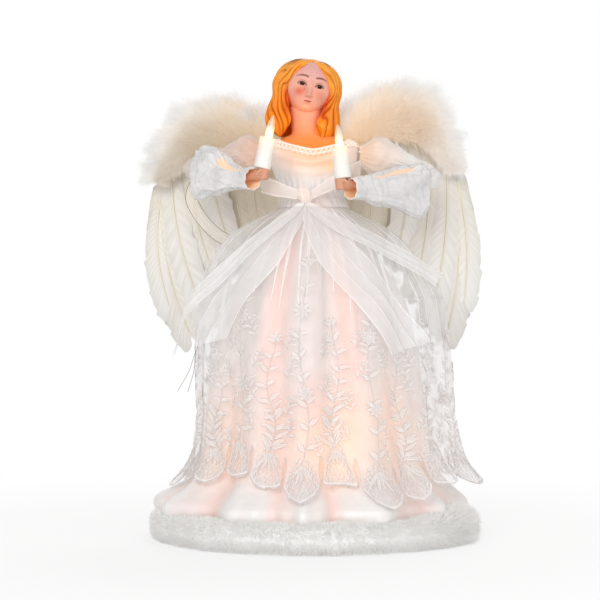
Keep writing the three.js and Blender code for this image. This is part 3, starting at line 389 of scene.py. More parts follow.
class Heap:
    """Points and faces of many shapes, gathered into one mesh with a tint and a light for each point."""

    def __init__(self):
        self.points, self.faces, self.finishes = [], [], []
        self.uvs, self.tints, self.lights = [], [], []
        self.count = 0

    def add(self, points, faces, uv=None, tint=WHITE, light=(0, 0, 0), finish=0, flip=1):
        points = np.asarray(points, float).reshape(-1, 3)
        every = len(points)
        self.points.append(points)
        for some in faces if isinstance(faces, (list, tuple)) else [faces]:
            self.faces.append(some[:, ::flip] + self.count)
            self.finishes.append(np.broadcast_to(finish, len(some)))
        self.uvs.append(np.zeros((every, 2)) if uv is None else np.asarray(uv, float).reshape(-1, 2))
        self.tints.append(np.broadcast_to(np.asarray(tint, float).reshape(-1, 3), (every, 3)))
        self.lights.append(np.broadcast_to(np.asarray(light, float).reshape(-1, 3), (every, 3)))
        self.count += every

    def made(self, name, *materials):
        mesh = bpy.data.meshes.new(name)
        corners = np.concatenate([f.ravel() for f in self.faces]).astype(np.int32)
        sizes = np.concatenate([np.full(len(f), f.shape[1]) for f in self.faces])
        starts = np.concatenate([[0], np.cumsum(sizes)[:-1]]).astype(np.int32)
        mesh.vertices.add(self.count)
        mesh.vertices.foreach_set("co", (np.concatenate(self.points) * MM).astype(np.float32).ravel())
        mesh.loops.add(len(corners))
        mesh.loops.foreach_set("vertex_index", corners)
        mesh.polygons.add(len(sizes))
        mesh.polygons.foreach_set("loop_start", starts)
        mesh.polygons.foreach_set("use_smooth", np.full(len(sizes), True))
        mesh.polygons.foreach_set("material_index", np.concatenate(self.finishes).astype(np.int32))
        uv = mesh.uv_layers.new(name="UVMap")
        uv.data.foreach_set("uv", np.concatenate(self.uvs)[corners].astype(np.float32).ravel())
        for layer, rows in (("tint", self.tints), ("light", self.lights)):
            colours = np.concatenate(rows)
            colours = np.hstack([colours, np.ones((len(colours), 1))]).astype(np.float32)
            painted = mesh.color_attributes.new(layer, "FLOAT_COLOR", "POINT")
            painted.data.foreach_set("color", colours.ravel())
        for material in materials:
            mesh.materials.append(material)
        mesh.update(calc_edges=True)
        made = bpy.data.objects.new(name, mesh)
        bpy.context.scene.collection.objects.link(made)
        return made


def dressed(heap, name, looks, body="figure", replaces=()):
    """Makes the heap a piece that rides on a body and stands for the CAD nodes that it replaces."""
    made = heap.made(name, *(LOOK[look] for look in looks))
    if body:
        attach(made, body)
    if replaces:
        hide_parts(*replaces)
    return made


def piece(points, faces, name, looks, slot, body="figure", replaces=(), **layers):
    """Makes one shape a piece; layers are its uv, tint, light, finish and flip."""
    heap = Heap()
    heap.add(points, faces, **layers)
    return dressed(heap, name, looks, body, replaces)


def tube(path, radius, sides, flat=1.0):
    """A closed tube along a path: points, faces, and each point's share along and angle round it."""
    path = np.asarray(path, float)
    rows = len(path)
    _, across, over = transported(path)
    angle = circle(sides)
    radius = np.broadcast_to(np.asarray(radius, float), rows)[:, None]
    wide = (radius * np.cos(angle))[..., None]
    thick = (radius * flat * np.sin(angle))[..., None]
    points = path[:, None] + across[:, None] * wide + over[:, None] * thick
    points = np.vstack([points.reshape(-1, 3), path[:1], path[-1:]])
    share = np.concatenate([np.repeat(np.linspace(0, 1, rows), sides), [0, 1]])
    around = np.concatenate([np.tile(angle, rows), [0, 0]])
    return points, tube_faces(rows, sides), share, around


def turned(profile, sides):
    """A body turned about +Z from (radius, height) points that start and end on the axis."""
    profile = np.array(profile, float)
    angle = circle(sides)
    radius, height = profile[1:-1, 0:1], profile[1:-1, 1:2]
    rings = np.stack(np.broadcast_arrays(radius * np.cos(angle), radius * np.sin(angle), height), -1)
    points = np.vstack([rings.reshape(-1, 3), [[0, 0, profile[0, 1]], [0, 0, profile[-1, 1]]]])
    return points, tube_faces(len(radius), sides)


def blade_side(aim, facing, rng):
    """A strand's sideways direction, so that its flat side looks about the given way."""
    return unit(np.cross(aim, facing + rng.normal(0, 0.3, aim.shape)))


def strands(root, aim, length, bend, width, facing, side, segments=2):
    """Thin tapering ribbons that bend by a vector at their tips, with their front to the pile's outside."""
    count = len(root)
    side = side * np.where((np.cross(side, aim) * facing).sum(1) < 0, -1, 1)[:, None]
    t = np.arange(segments) / segments
    run = (length[:, None] * t)[..., None]
    centre = root[:, None] + aim[:, None] * run + bend[:, None] * (t**2)[None, :, None]
    half = (0.5 * width[:, None] * (1 - 0.6 * t))[..., None]
    edges = np.stack([centre - side[:, None] * half, centre + side[:, None] * half], 2)
    tip = root + aim * length[:, None] + bend
    points = np.concatenate([edges.reshape(count, 2 * segments, 3), tip[:, None]], 1)
    first = np.arange(count)[:, None] * (2 * segments + 1)
    quads = np.vstack([first + 2 * k + np.array([0, 1, 3, 2]) for k in range(segments - 1)])
    tips = first + 2 * segments + np.array([-2, -1, 0])
    share = np.tile(np.append(np.repeat(t, 2), 1), count)
    return points.reshape(-1, 3), [quads, tips], share


# Materials


class Finish:
    """A procedural material on one Principled shader, with the sockets that stay even set on the shader."""

    def __init__(self, name, colour, roughness, **sockets):
        self.material = bpy.data.materials.new(name)
        self.material.use_nodes = True
        self.tree = self.material.node_tree
        self.shader = self.tree.nodes["Principled BSDF"]
        self.shader.inputs["Base Color"].default_value = (*colour, 1)
        self.shader.inputs["Roughness"].default_value = roughness
        for socket, value in sockets.items():
            self.shader.inputs[socket.replace("_", " ")].default_value = value

    def node(self, kind, **settings):
        made = self.tree.nodes.new(kind)
        for key, value in settings.items():
            if key in made.inputs:
                made.inputs[key].default_value = value
            else:
                setattr(made, key, value)
        return made

    def link(self, source, target):
        self.tree.links.new(source, target)

    def place(self, uv=False):
        return self.node("ShaderNodeTexCoord").outputs["UV" if uv else "Object"]

    def painted(self, light=0.0):
        """Takes the colour, and the light if it has a strength, from the mesh's own layers."""
        self.colour = self.node("ShaderNodeAttribute", attribute_name="tint").outputs["Color"]
        self.link(self.colour, self.shader.inputs["Base Color"])
        if light:
            glow = self.node("ShaderNodeAttribute", attribute_name="light").outputs["Color"]
            self.link(glow, self.shader.inputs["Emission Color"])
            self.shader.inputs["Emission Strength"].default_value = light
        return self

    def noise(self, scale, detail=3.0, uv=False):
        made = self.node("ShaderNodeTexNoise", Scale=scale, Detail=detail)
        self.link(self.place(uv), made.inputs["Vector"])
        return made.outputs["Fac"]

    def wave(self, scale, direction="X", distortion=0.0, uv=False):
        made = self.node("ShaderNodeTexWave", Scale=scale, Distortion=distortion, bands_direction=direction)
        self.link(self.place(uv), made.inputs["Vector"])
        return made.outputs["Fac"]

    def blended(self, factor, dark, light, low=0.3, high=0.7):
        """A colour between dark and light by a texture's value."""
        ramp = self.node("ShaderNodeValToRGB")
        ramp.color_ramp.elements[0].position, ramp.color_ramp.elements[0].color = low, (*dark, 1)
        ramp.color_ramp.elements[1].position, ramp.color_ramp.elements[1].color = high, (*light, 1)
        self.link(factor, ramp.inputs["Fac"])
        return ramp.outputs["Color"]

    def tinted(self, factor, dark, low=0.3, high=0.7):
        """Darkens the colour a little where a texture is low."""
        blend = self.node("ShaderNodeMix", data_type="RGBA", blend_type="MULTIPLY")
        blend.inputs["Factor"].default_value = 1
        if not self.shader.inputs["Base Color"].is_linked:
            blend.inputs[6].default_value = self.shader.inputs["Base Color"].default_value
        else:
            self.link(self.colour, blend.inputs[6])
        self.link(self.blended(factor, dark, (1, 1, 1), low, high), blend.inputs[7])
        self.colour = blend.outputs[2]
        self.link(self.colour, self.shader.inputs["Base Color"])
        return self

    def ranged(self, factor, socket, low, high):
        """Drives a shader socket from a texture, between two values."""
        made = self.node("ShaderNodeMapRange")
        made.inputs["To Min"].default_value, made.inputs["To Max"].default_value = low, high
        self.link(factor, made.inputs["Value"])
        self.link(made.outputs["Result"], self.shader.inputs[socket])
        return self

    def bumped(self, *heights, strength=0.3, depth=0.1):
        """A normal from textures, added up; depth is in millimetres."""
        total = heights[0]
        for height in heights[1:]:
            add = self.node("ShaderNodeMath", operation="ADD")
            self.link(total, add.inputs[0])
            self.link(height, add.inputs[1])
            total = add.outputs["Value"]
        bump = self.node("ShaderNodeBump", Strength=strength, Distance=depth * MM)
        self.link(total, bump.inputs["Height"])
        self.link(bump.outputs["Normal"], self.shader.inputs["Normal"])
        return self


def satin_finish(name, light):
    made = Finish(name, SATIN_WHITE, 0.34, Sheen_Weight=0.25, Specular_IOR_Level=0.45).painted(light)
    made.tinted(made.noise(160, 4), (0.95, 0.93, 0.92))
    return made.bumped(made.wave(900, "DIAGONAL"), made.noise(420, 2), strength=0.12, depth=0.12)


def organza_finish(name, alpha, light=0.0):
    made = Finish(name, WHITE, 0.45, Sheen_Weight=0.5, Alpha=alpha, Specular_IOR_Level=0.3).painted(light)
    made.ranged(made.noise(300), "Roughness", 0.35, 0.6)
    return made.bumped(made.wave(1600, "X"), made.wave(1600, "Z"), strength=0.15, depth=0.08)


def thread_finish(name, roughness=0.4, light=0.0, alpha=1.0):
    made = Finish(name, WHITE, roughness, Sheen_Weight=0.3, Alpha=alpha).painted(light)
    made.tinted(made.wave(9, "Y", uv=True), (0.95, 0.95, 0.95), 0.1, 0.6)
    return made.bumped(made.wave(9, "Y", uv=True), strength=0.4, depth=0.12)


def brocade_finish():
    made = Finish("brocade_weave", WHITE, 0.36, Sheen_Weight=0.3, Specular_IOR_Level=0.6).painted()
    swirl = made.node("ShaderNodeTexWave", Scale=42, Distortion=16, Detail=2)
    swirl.inputs["Detail Scale"].default_value = 1.3
    made.link(made.place(), swirl.inputs["Vector"])
    lines = swirl.outputs["Fac"]
    made.tinted(lines, (0.93, 0.93, 0.93), 0.02, 0.4)
    made.tinted(made.noise(60, 2), (0.84, 0.84, 0.845), 0.35, 0.65)
    made.ranged(lines, "Roughness", 0.22, 0.42)
    return made.bumped(lines, made.wave(1300, "DIAGONAL"), strength=0.3, depth=0.2)


def strand_finish(name, roughness, sheen):
    made = Finish(name, WHITE, roughness, Sheen_Weight=sheen, Specular_IOR_Level=0.15).painted(1.0)
    return made.tinted(made.noise(90), (0.97, 0.97, 0.97))


def feather_finish():
    made = Finish("feather_vane", WHITE, 0.5, Sheen_Weight=0.35, Specular_IOR_Level=0.3).painted(1.0)
    made.tinted(made.wave(5, "Y", 0.5, uv=True), (0.965, 0.96, 0.945), 0.1, 0.7)
    return made.bumped(made.wave(5, "Y", 0.5, uv=True), strength=0.2, depth=0.1)


def skin_finish():
    made = Finish("painted_skin", SKIN, 0.55, Specular_IOR_Level=0.1).painted(1.0)
    made.tinted(made.noise(220, 5), (0.97, 0.94, 0.93))
    return made.bumped(made.noise(900, 3), strength=0.06, depth=0.1)


def hair_finish():
    coat = {"Coat_Weight": 0.06, "Coat_Roughness": 0.35, "Specular_IOR_Level": 0.25}
    made = Finish("painted_hair", GOLD, 0.45, **coat).painted(0.6)
    made.tinted(made.noise(260, 5), (0.86, 0.74, 0.6))
    return made.bumped(made.noise(500, 4), strength=0.15, depth=0.12)


def plastic_finish(name, colour, roughness, light=0.0):
    made = Finish(name, colour, roughness, Specular_IOR_Level=0.4)
    if light:
        made.painted(light)
    made.tinted(made.noise(130, 4), (0.94, 0.94, 0.93))
    made.ranged(made.noise(340, 3), "Roughness", roughness - 0.08, roughness + 0.1)
    return made.bumped(made.noise(800, 2), strength=0.08, depth=0.08)


def steel_finish():
    made = Finish("soft_steel_wire", (0.62, 0.62, 0.61), 0.35, Metallic=0.9)
    made.ranged(made.noise(600, 4), "Roughness", 0.25, 0.5)
    return made.bumped(made.noise(1500, 2), strength=0.1, depth=0.05)


def lamp_glass_finish():
    clear = {"Alpha": 0.3, "Specular_IOR_Level": 0.8, "Coat_Weight": 0.6}
    made = Finish("lamp_glass_shell", GLASS_TINT, 0.05, **clear)
    made.ranged(made.noise(250, 2), "Roughness", 0.03, 0.1)
    return made.painted(1.0)


FINISHES = {
    "satin": satin_finish("lit_satin", 1.0),
    "organza": organza_finish("organza_sheer", 0.34),
    "fold": organza_finish("organza_fold", 0.6),
    "puff": organza_finish("organza_puff", 0.68, 1.0),
    "sheer": organza_finish("ribbon_sheer", 0.4, 1.0),
    "sash": organza_finish("ribbon_layers", 0.6, 1.0),
    "edge": organza_finish("ribbon_edge", 0.62, 1.0),
    "thread": thread_finish("embroidery_thread", 0.4, 1.0, 0.5),
    "cord": thread_finish("embroidery_cord", 0.4, 1.0, 0.7),
    "lace": thread_finish("lace_thread", 0.7, 1.0),
    "brocade": brocade_finish(),
    "lining": satin_finish("cuff_lining", 1.0),
    "fur": strand_finish("fur_strands", 0.85, 1.0),
    "down": strand_finish("marabou_down", 0.9, 1.0),
    "feather": feather_finish(),
    "quill": plastic_finish("feather_quill", (0.85, 0.8, 0.68), 0.45),
    "skin": skin_finish(),
    "hair": hair_finish(),
    "candle": plastic_finish("candle_wax_white", (0.86, 0.84, 0.8), 0.4, 1.0),
    "glass": lamp_glass_finish(),
    "filament": Finish("lamp_filament", (1.0, 0.8, 0.5), 0.5).painted(4.0),
    "white_plastic": plastic_finish("moulded_shell", (0.82, 0.8, 0.76), 0.45),
    "holder": plastic_finish("moulded_holder", (0.83, 0.83, 0.8), 0.4),
    "rubber": plastic_finish("grommet_rubber_matt", (0.8, 0.79, 0.77), 0.75),
    "wire": plastic_finish("lead_insulation", (0.78, 0.77, 0.73), 0.5),
    "steel": steel_finish(),
}
LOOK = {key: made.material for key, made in FINISHES.items()}


# View, light and floor


def camera_and_light():
    scene = bpy.context.scene
    scene.view_settings.view_transform = "Standard"
    camera = bpy.data.objects.new("camera", bpy.data.cameras.new("camera"))
    camera.location = [v * MM for v in CAMERA_PLACE]
    camera.rotation_euler = (math.pi / 2, 0, 0)
    camera.data.lens = CAMERA_LENS
    camera.data.sensor_width = CAMERA_SENSOR
    scene.collection.objects.link(camera)
    scene.camera = camera
    for name, place, aim, size, power in LIGHTS:
        lamp = bpy.data.lights.new(name, "AREA")
        lamp.size = size
        lamp.energy = power
        held = bpy.data.objects.new(name, lamp)
        held.location = place
        direction = Vector(aim) - Vector(place)
        held.rotation_euler = direction.to_track_quat("-Z", "Y").to_euler()
        scene.collection.objects.link(held)


def seen_directly(tree):
    """1 for rays that come from the camera, a mirror or glass."""
    path = tree.nodes.new("ShaderNodeLightPath")
    total = path.outputs["Is Camera Ray"]
    for name in ("Is Glossy Ray", "Is Transmission Ray"):
        add = tree.nodes.new("ShaderNodeMath")
        add.operation = "MAXIMUM"
        tree.links.new(total, add.inputs[0])
        tree.links.new(path.outputs[name], add.inputs[1])
        total = add.outputs["Value"]
    return total


def white_world():
    world = bpy.data.worlds.new("studio")
    bpy.context.scene.world = world
    world.use_nodes = True
    tree = world.node_tree
    around = tree.nodes["Background"]
    around.inputs["Color"].default_value = WORLD_COLOUR
    around.inputs["Strength"].default_value = WORLD_STRENGTH
    white = tree.nodes.new("ShaderNodeBackground")
    white.inputs["Color"].default_value = (1, 1, 1, 1)
    blend = tree.nodes.new("ShaderNodeMixShader")
    tree.links.new(seen_directly(tree), blend.inputs["Fac"])
    tree.links.new(around.outputs[0], blend.inputs[1])
    tree.links.new(white.outputs[0], blend.inputs[2])
    tree.links.new(blend.outputs[0], tree.nodes["World Output"].inputs["Surface"])


def floor():
    heap = Heap()
    corners = FLOOR_HALF * np.array([(-1, -1, 0), (1, -1, 0), (1, 1, 0), (-1, 1, 0)])
    heap.add(corners, np.array([[0, 1, 2, 3]]))
    made = Finish("floor_white", FLOOR_GREY, 0.9)
    away = made.node("ShaderNodeVectorMath", operation="LENGTH")
    made.link(made.place(), away.inputs[0])
    fade = made.node("ShaderNodeMapRange", interpolation_type="SMOOTHSTEP", **FLOOR_FADE)
    made.link(away.outputs["Value"], fade.inputs["Value"])
    share = made.node("ShaderNodeMath", operation="MULTIPLY")
    made.link(seen_directly(made.tree), share.inputs[0])
    made.link(fade.outputs["Result"], share.inputs[1])
    white = made.node("ShaderNodeEmission", Strength=1.0)
    blend = made.node("ShaderNodeMixShader")
    made.link(share.outputs["Value"], blend.inputs["Fac"])
    made.link(made.shader.outputs[0], blend.inputs[1])
    made.link(white.outputs[0], blend.inputs[2])
    made.link(blend.outputs[0], made.tree.nodes["Material Output"].inputs["Surface"])
    heap.made("floor", made.material)


# Skirts

LAMP_COUNT = 8
# How far a lamp's spot spreads on the satin, and the most that spots add up to
LAMP_SPREAD, LAMP_MOST = 25, 1.4


def box_middle(node):
    low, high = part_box(node)
    return (np.array(low) + np.array(high)) / 2 / MM


LAMPS = {f"lamp_{i + 1}": box_middle(f"lamp_{i + 1}") for i in range(LAMP_COUNT)}


def skirt_share(z):
    return (z - HEM_Z) / (WAIST_Z - HEM_Z)


SATIN_SHAPE = [
    (0, SATIN_HEM),
    (0.05, mix(SATIN_HEM, SATIN_KNEE, 0.5)),
    (0.14, SATIN_KNEE),
    (0.34, mix(SATIN_KNEE, SATIN_HIP, 0.35)),
    (0.58, SATIN_HIP),
    (0.8, mix(SATIN_HIP, WAIST_RADIUS, 0.42)),
    (0.94, mix(SATIN_HIP, WAIST_RADIUS, 0.86)),
    (1, WAIST_RADIUS),
]
PUFF_SHAPE = [(0.3, 0), (0.58, 0.4), (0.8, 1), (0.9, 0.8), (skirt_share(SASH_LOW), 0)]


def folds(angle):
    return 0.65 * np.cos(SATIN_FOLDS * angle + 0.6) + 0.35 * np.cos(7 * angle + 2.1)


def gather(share):
    return np.minimum(1, 3 * (1 - share)) ** 2


def satin_radius(share, angle):
    return between(SATIN_SHAPE, share) + CLOTH + SATIN_FOLD * gather(share) * (1 + folds(angle))


def over_radius(share, angle):
    off = (angle - OVER_FLARE_ANGLE + math.pi) % (2 * math.pi) - math.pi
    loose = OVER_FLARE * hill(off, 0.55) * (1 - 0.9 * share)
    puff = OVER_PUFF * between(PUFF_SHAPE, share) * mix(0.3, 1, np.sin(angle) ** 2)
    own = 0.5 + 0.5 * np.cos(9 * angle + 1)
    air = FIT + gather(share) * (OVER_GAP * (1 + own) + loose) + puff
    return satin_radius(share, angle) + air + CLOTH


def round_point(radius, angle, z):
    return np.stack(np.broadcast_arrays(radius * np.sin(angle), -radius * np.cos(angle), z), -1)


def nearness(points, lamps, spread):
    """How near each point lies to some lamps, about 1 at a lamp."""
    return sum(hill(np.linalg.norm(points - lamp, axis=-1), spread) for lamp in lamps)


def hem_crest(angle):
    """Where the hem's bells stand out, from 0 in a valley to 1 on a crest; the bells differ in width."""
    phase = SATIN_FOLDS * angle + 0.6 + 0.9 * np.sin(5 * angle + 0.4) + 0.5 * np.sin(3 * angle)
    return np.clip(0.5 + 0.4 * np.cos(phase) + 0.14 * np.cos(2.6 * phase + 1), 0, 1)


def hem_bulge(angle):
    """How much the hem swells at the left, from 0 to 1."""
    return hill(angle + 1.6, 0.5)


def satin_skirt():
    """The satin skirt down to its hem, which hangs into the fur in rounded bells."""
    rows, roll_rows, cols = 125, 24, 600
    angle, share = band(rows, cols)
    share = share**1.35
    rng = seeded("satin")
    crease = wobble(angle + 0.25 * np.sin(6 * share), *waves(rng, 4, 17, 43))
    crest = hem_crest(angle)
    bell = hill(share, 0.1)
    down = np.clip(1 - share / 0.06, 0, 1)
    shoulder = HEM_SHOULDER * (np.sin(0.5 * math.pi * down) - down)
    shoulder = shoulder + HEM_BULGE * hem_bulge(angle) * ease(down)
    radius = satin_radius(share, angle) - CLOTH / 2 + bell * mix(VALLEY_OUT, BELL_OUT, crest) + shoulder
    radius = radius + gather(share) * 0.5 * crease * (1 - 0.6 * bell)
    z = mix(HEM_Z, WAIST_Z, share) + 0 * angle
    roll = np.linspace(1, 0, roll_rows, endpoint=False)[:, None]
    under = radius[:1] + 1.6 * np.sin(math.pi * roll) - 2.5 * roll**2
    lower = HEM_Z - mix(VALLEY_DROP, BELL_DROP, crest) * roll
    points = round_point(np.vstack([under, radius]), angle, np.vstack([lower, z]))
    share = np.vstack([np.zeros((roll_rows, 1)), share])
    bell = hill(share, 0.1)
    # Painted shade: the valleys between the hem's bells turn pink
    valley = bell * (1 - crest) ** mix(2.2, 0.8, ease(share, 0, 0.1))
    tint, light = satin_colours(points, share, angle, valley)
    faces = grid_faces(rows + roll_rows, cols, around=True)
    looks = {"tint": tint, "light": light}
    made = piece(points, faces, "satin_skirt", ["satin"], "satin", replaces=["underskirt"], **looks)


def satin_colours(points, share, angle, valley):
    """Painted light, pink and warm spots where the lamps shine through the cloth; pinker in the hem's valleys
    as painted shade; whitest on the bells at the hem and beside the waist.
    """
    reach = mix(1.1, 0.8, share)
    lit = hill(angle - 0.05, reach) + 0.35 * hill(np.abs(angle) - 2.6, 0.8)
    lit = np.minimum(lit, 1)
    bands = 0.5 + 0.5 * np.cos(15 * angle + 1.4 * np.sin(4 * angle) + 0.8 * share)
    pink = ease(share, 0.03, 0.16) * (0.2 + 0.8 * lit)
    pink = pink * (0.6 + 0.5 * bands)
    streaks = sum(hill(angle - at, 0.15) for at in SKIRT_STREAKS)
    streaks = streaks * (1 - ease(share, 0.8, 0.95))
    pink = mix(pink, 0.3 * pink + 0.8 * streaks, ease(share, 0.28, 0.5))
    # Painted shade: pinker in the hem's valleys
    pink = np.clip(pink + 0.6 * valley, 0, 1)[..., None]
    # Painted light: warm spots round the lamps, in the colour and as a glow
    spots = np.minimum(nearness(points, LAMPS.values(), LAMP_SPREAD), LAMP_MOST)
    spots = (spots * (0.3 + 0.7 * lit) * ease(share, 0.02, 0.12))[..., None]
    tint = mix(SATIN_WHITE, SATIN_PINK, pink)
    tint = mix(tint, SATIN_LAMPLIT, np.clip(0.9 * spots, 0, 0.8))
    return tint, 0.14 * pink * SATIN_GLOW + 0.5 * spots * LAMP_LIGHT


def pleat_wave(turn):
    """The overskirt's pleats: a wave with an uneven step and depth."""
    phase = PLEATS * turn + 1.3 * np.sin(3 * turn) + 0.8 * np.sin(5 * turn + 1)
    return np.sin(phase) * (0.7 + 0.3 * np.sin(4 * turn + 0.5))


def pleat_depth(share):
    return ease(share, 0.25, 0.65) * np.clip((skirt_share(SASH_LOW) - share) / 0.1, 0, 1)


def pleat_turn(angle, depth):
    """The cloth's own place round the waist for an angle on its pleated face."""
    turn = angle
    for _ in range(7):
        turn = angle - PLEAT_TURN * depth * pleat_wave(turn)
    return turn


def over_point(angle, z, lift=0.0):
    """A point of the overskirt, which has steep pleats towards the waist and a slight curl at its lobes."""
    share = skirt_share(np.maximum(z, HEM_Z))
    depth = pleat_depth(share)
    wave = pleat_wave(pleat_turn(angle, depth))
    low = np.clip(1 - (z - HEM_Z - 8) / LOBE_DEPTH, 0, 1)
    curl = 1.0 * low**2 * (1 + 0.6 * np.sin(5 * angle + 2))
    ripple = 0.4 * gather(share) * np.cos(33 * angle + 0.06 * z)
    radius = over_radius(share, angle) - CLOTH / 2 + curl + ripple + PLEAT_RISE * depth * (1 + wave)
    return round_point(radius + lift, angle, z)


def lobe_middle(which):
    return LOBE_FIRST + 2 * math.pi * which / LOBES


def lobe_place(which, across, down):
    """Turn and height in a lobe: across runs from -0.5 to 0.5, down from the gap's top to 1 at the tip."""
    turn = lobe_middle(which) + 2 * math.pi / LOBES * across * between(LOBE_OUTLINE, down)
    return turn, gap_height(turn) + (LOBE_TIPS[which] - gap_height(lobe_middle(which))) * down


def gap_height(turn):
    """Height of the tops of the gaps between the lobes, a smooth line through the lobes' own."""
    at = (turn - LOBE_FIRST) * LOBES / (2 * math.pi)
    low = np.floor(at).astype(int)
    tips = np.array(LOBE_TIPS, float)
    return mix(tips[low % LOBES], tips[(low + 1) % LOBES], ease(at - low)) + LOBE_DEPTH


def overskirt():
    rows, lobe_rows, per_lobe = 96, 24, 41
    heap = Heap()
    across = np.linspace(-0.5, 0.5, per_lobe)[None]
    down = np.sin(np.linspace(0, math.pi / 2, lobe_rows))[::-1, None]
    up = np.linspace(0, 1, rows)[1:, None]
    for which in range(LOBES):
        angle, z = (np.broadcast_to(v, (lobe_rows, per_lobe)) for v in lobe_place(which, across, down))
        angle = np.vstack([angle, np.repeat(angle[-1:], rows - 1, axis=0)])
        z = np.vstack([z, mix(z[-1:], WAIST_Z, up)])
        heap.add(over_point(angle, z), grid_faces(lobe_rows + rows - 1, per_lobe), tint=ORGANZA_TINT)
    pleat_edges(heap)
    looks = ["organza", "fold"]
    made = dressed(heap, "organza_overskirt", looks, replaces=["overskirt"])


def pleat_edges(heap):
    """The doubled cloth along the pleats' crests, which shows as pale lines down from the waist."""
    rows, cols = 70, 4
    rng = seeded("pleats")
    turn = np.linspace(-math.pi, math.pi, 4000)
    wave = pleat_wave(turn)
    crests = turn[1:-1][(wave[1:-1] > wave[:-2]) & (wave[1:-1] > wave[2:])]
    for crest in np.concatenate([crests, crests + rng.uniform(0.07, 0.2, len(crests))]):
        share = np.linspace(0, 1, rows)[:, None]
        z = mix(SASH_LOW - 1, rng.uniform(*FOLD_ENDS), share)
        angle = crest + PLEAT_TURN + rng.normal(0, 0.02) * share**2
        half = rng.uniform(0.5, 1.5) * np.sin(math.pi * share**0.6) ** 0.7
        spread = half / over_radius(skirt_share(z), angle) * np.linspace(-1, 1, cols)[None]
        line = over_point(angle + spread, z, FOLD_LIFT)
        heap.add(line, grid_faces(rows, cols), tint=FOLD_TINT, finish=1)


# Embroidery on the overskirt

LEAF_ALONG = 10
LEAF_ACROSS = (-1, -0.76, -0.68, -0.14, 0, 0.14, 0.68, 0.76, 1)
THREAD_TINT = (0.95, 0.925, 0.915)
THREAD_SHADE = (0.5, 0.475, 0.47)
CORD_TINT = (0.7, 0.68, 0.675)
NET_TINT = (0.8, 0.77, 0.765)
THREAD_LIGHT = (0.1, 0.085, 0.08)
THREAD_LIFT = 0.35
VINE_TOPS = (168, 132, 150, 116)
VINE_SWAYS = (0.05, -0.045, 0.035)
FROND_SIDE = [(0, 0.02), (0.3, 0.2), (0.7, 0.36), (1, 0.32)]
NET_CORDS, NET_STEP = 7, 0.14
# Cords: radius and length of a stitch
EDGE_CORD, NET_CORD, FROND_CORD = (0.3, 1.3), (0.12, 1.0), (0.2, 1.3)
STEM_CORD, SPRIG_CORD = (0.24, 1.5), (0.16, 1.2)
# Lengths of leaves at the start and end of their line
FROND_LEAVES, SPRIG_LEAVES, LOW_LEAVES = (4.0, 3.4), (5.4, 3.6), (11, 8)
# Leaves of an open and a full vine, and the height between their pairs
VINES = [((8, 6), 13), ((9, 5.5), 7.5)]


class Stitches:
    """Leaves and cords of thread that lie on the overskirt, placed by angle and height."""

    def __init__(self):
        self.heap = Heap()
        t, u = np.meshgrid(np.linspace(0, 1, LEAF_ALONG), LEAF_ACROSS, indexing="ij")
        self.t, self.u = t, u
        self.outline = np.sin(math.pi * t**0.85) ** 0.75
        self.dome = 0.4 + 0.6 * np.sin(math.pi * np.abs(u))
        self.dome = self.dome * np.sin(math.pi * np.clip(t, 0.03, 0.97)) ** 0.4
        # Painted shade: the rim and the rib are darker
        edge, middle = np.abs(u) > 0.7, (np.abs(u) < 0.1) & (t < 0.85)
        self.tint = mix(THREAD_TINT, THREAD_SHADE, (edge * 1.0 + middle * 0.7)[..., None])
        self.faces = grid_faces(LEAF_ALONG, len(LEAF_ACROSS))
        rim = np.isin(np.arange(len(LEAF_ACROSS) - 1), (0, len(LEAF_ACROSS) - 2)).astype(int)
        self.finish = np.tile(rim, LEAF_ALONG - 1)

    def leaf(self, angle, z, heading, length, width, bend=0.0):
        """A satin-stitched leaf with its rim and rib painted darker as shade; heading runs from straight up
        towards +X.
        """
        along = self.t * length
        across = self.u * self.outline * width / 2
        way = heading + bend * self.t
        x = along * np.sin(way) + across * np.cos(way)
        y = along * np.cos(way) - across * np.sin(way)
        radius = float(over_radius(skirt_share(max(z, HEM_Z)), np.array(angle)))
        points = over_point(angle + x / radius, z + y, THREAD_LIFT + 0.45 * self.dome)
        uv = np.stack([self.u, self.t * length / 3], -1)
        looks = {"tint": self.tint, "light": THREAD_LIGHT, "finish": self.finish}
        self.heap.add(points, self.faces, uv=uv, flip=-1, **looks)

    def cord(self, angle, z, radius, stitch, tint=CORD_TINT, sides=6):
        """A chain-stitched cord along a line of angles and heights."""
        path = over_point(angle, z, THREAD_LIFT)
        run = path_length(path)
        count = max(6, int(run / 0.7))
        beads = radius * (1 + 0.3 * np.sin(np.linspace(0, run, count) * 2 * math.pi / stitch))
        points, faces, share, around = tube(resampled(path, count), beads, sides, flat=0.7)
        uv = np.stack([around, share * run / 1.5], -1)
        self.heap.add(points, faces, uv=uv, tint=tint, light=THREAD_LIGHT, finish=1)

    def flower(self, angle, z, size, petals, spin=0.0):
        for k in range(petals):
            self.leaf(angle, z, spin + 2 * math.pi * k / petals, size, 0.6 * size)

    def fern(self, angle, z, sizes, count, rng, slim=0.46, spread=1.0):
        """Pairs of leaves that lean away from a line; sizes are at the line's start and end."""
        heading = np.arctan2(np.gradient(angle) * 65, np.gradient(z))
        for k in np.linspace(2, len(z) - 3, count).astype(int):
            size = mix(sizes[0], sizes[1], k / len(z))
            for way in (-1, 1):
                lean = heading[k] + way * rng.uniform(0.6, 1.05) * spread
                step = min(k + 2 * (way > 0), len(z) - 1)
                bend = way * rng.uniform(-0.15, 0.45) * spread
                self.leaf(angle[step], z[step], lean, size * rng.uniform(0.8, 1.2), slim * size, bend)


